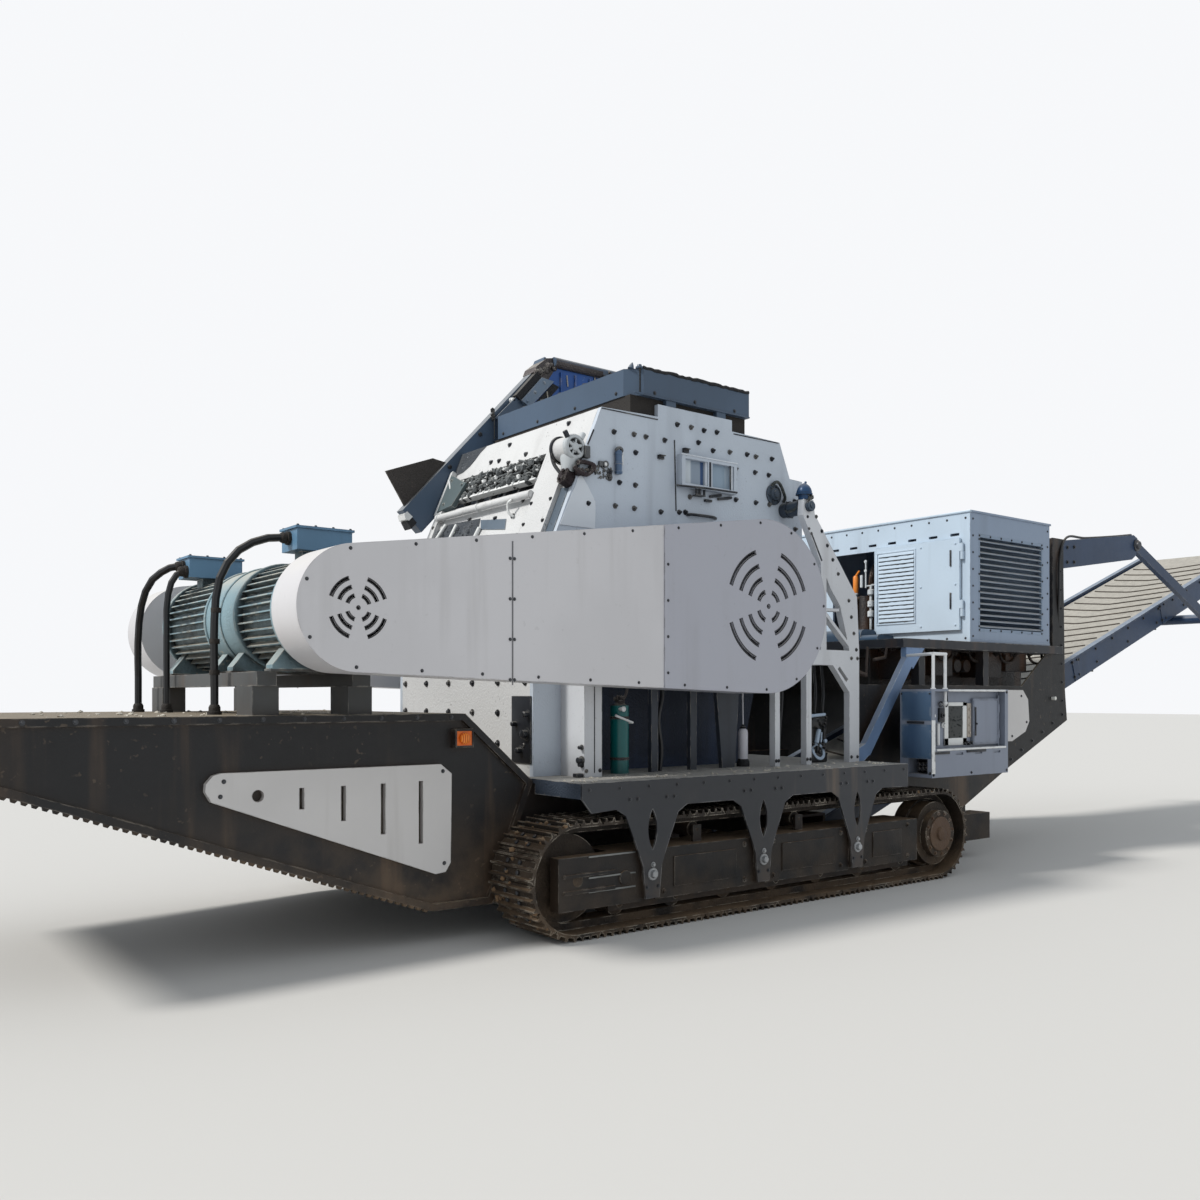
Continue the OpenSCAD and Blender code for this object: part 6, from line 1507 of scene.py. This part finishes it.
# Arms and discharge conveyor. Steel-blue channel rails carry a dusty belt with curved cleats on
# idler rollers; two arms and their links hold it from the nose posts.
arm_blue = coat("arm_blue", srgb(36, 58, 88), 0.40, tone=0.10, runs=0.3, run_colour=srgb(36, 42, 54), dust=0.6,
                dust_colour=srgb(170, 180, 192), chips=0.7, chip_colour=srgb(150, 150, 150), corner_shade=0.3,
                dents=0.15, low=0.2)
belt_dust = coat("belt_dust", srgb(108, 107, 103), 0.85, tone=0.12, dust=0.6, dust_colour=CHALK, specks=0.6,
                 speck_size=22, speck_colour=srgb(110, 102, 92), corner_shade=0.3, grain=0.5)
cleat_dark = coat("cleat_dark", srgb(74, 68, 62), 0.8, tone=0.2, dust=0.35, corner_shade=0.3, grain=0.3)
wear(arm_blue, "conveyor_arms", "conveyor_hanger", "conveyor_frame")
wear(belt_dust, "conveyor_belt")
wear(belt_black, "feed_curtain")
wear(track_steel, "conveyor_drums")
SLOPE = math.radians(19.32)
BELT_WAY = Vector((math.cos(SLOPE), 0, math.sin(SLOPE)))
BELT_UP = Vector((-math.sin(SLOPE), 0, math.cos(SLOPE)))
RAIL_FACE, BELT_HALF, CLEATS = 0.740, 0.60, 30


def on_belt(s, y, h):
    """A place on the conveyor: s from its foot, h over the rails' top."""
    return Vector((-0.900, y, 0.542)) + BELT_WAY * s + BELT_UP * h


shape = bmesh.new()
for k in range(CLEATS):
    s = 0.35 + k * 0.30
    hose(shape, [on_belt(s - 0.20 * (1 - abs(y) / BELT_HALF) ** 0.8, y, -0.036)
                 for y in (-BELT_HALF, -0.48, -0.34, -0.18, 0.0, 0.18, 0.34, 0.48, BELT_HALF)], 0.011, 6, 2)
place("belt_cleats", shape, cleat_dark, crease=60)
shape = bmesh.new()
for k in range(9):
    s = 0.7 + k * 1.03
    rod(shape, on_belt(s, -0.698, -0.089), on_belt(s, 0.698, -0.089), 0.036)
for k in range(4):
    s = 3.4 + k * 1.7
    rod(shape, on_belt(s, -0.62, -0.330), on_belt(s, 0.62, -0.330), 0.038)
    for y in (-0.66, 0.66):
        rod(shape, on_belt(s, y, -0.330), on_belt(s, math.copysign(0.70, y), -0.285), 0.012)
        foot = on_belt(s, y, -0.335)
        slab(shape, foot - Vector((0.02, 0.008, 0.02)), foot + Vector((0.02, 0.008, 0.05)), 0.003)
place("belt_rollers", shape, track_steel)
shape = bmesh.new()
for side in SIDES:
    out = Vector((0, side, 0))
    for k in range(17):
        bolt(shape, on_belt(2.6 + k * 0.42, side * RAIL_FACE, -0.075), out, 0.012)
    for k in range(9):
        bolt(shape, on_belt(2.7 + k * 0.80, side * RAIL_FACE, -0.230), out, 0.012)
    for s in (4.6, 6.9):
        for h in (-0.06, -0.24):
            for ds in (-0.05, 0.05):
                bolt(shape, on_belt(s + ds, side * (RAIL_FACE + 0.0005), h), out, 0.014)
    head = on_belt(9.563, side * RAIL_FACE, -0.162)
    turn(shape, head, out, [(0, 0.09), (0.02, 0.09), (0.026, 0.07), (0.05, 0.06), (0.054, 0.03)], 28)
    for x, z in ((2.60, 3.22), (2.60, 3.06), (2.74, 3.235), (2.74, 3.07)):
        bolt(shape, (x, side * NOSE_FACE, z), out, 0.013)
    for x, z in ((4.155, 3.375), (5.98, 2.625)):
        turn(shape, (x, side * NOSE_FACE, z), out,
             [(0, 0.07), (0.012, 0.07), (0.018, 0.05), (0.04, 0.045), (0.044, 0.02)], 28)
place("conveyor_bolts", shape, bolt_steel)
shape = bmesh.new()
for side in SIDES:
    for s0 in (4.55, 6.85):
        near = [on_belt(s, 0, h).xz
                for s, h in ((s0, -0.29), (s0 + 0.13, -0.29), (s0 + 0.13, -0.01), (s0, -0.01))]
        side_plate(shape, near, side, RAIL_FACE, 0.748)
place("rail_splices", shape, arm_blue)
shape = bmesh.new()
for side in SIDES:
    y = side * 1.115
    hose(shape, [(2.44, y, 2.35), (2.40, y + side * 0.03, 2.7), (2.42, y + side * 0.03, 3.1),
                 (2.60, y + side * 0.01, 3.33), (3.0, y, 3.36), (3.6, y, 3.43), (4.05, y, 3.49)], 0.013)
place("arm_hoses", shape, cable_black)


# Nose lamps. A small white plastic lens sits in a short round socket on each nose plate, near the
# foot of the conveyor's post.
nose_lamp_white = coat("nose_lamp_white", srgb(232, 232, 226), 0.2, tone=0.1)
shape = bmesh.new()
for side in SIDES:
    turn(shape, (2.290, side * NOSE_FACE, 1.575), (0, side, 0),
         [(0, 0.018), (0.03, 0.020), (0.040, 0.020), (0.044, 0.014)], 24)
place("nose_lamps", shape, nose_lamp_white)
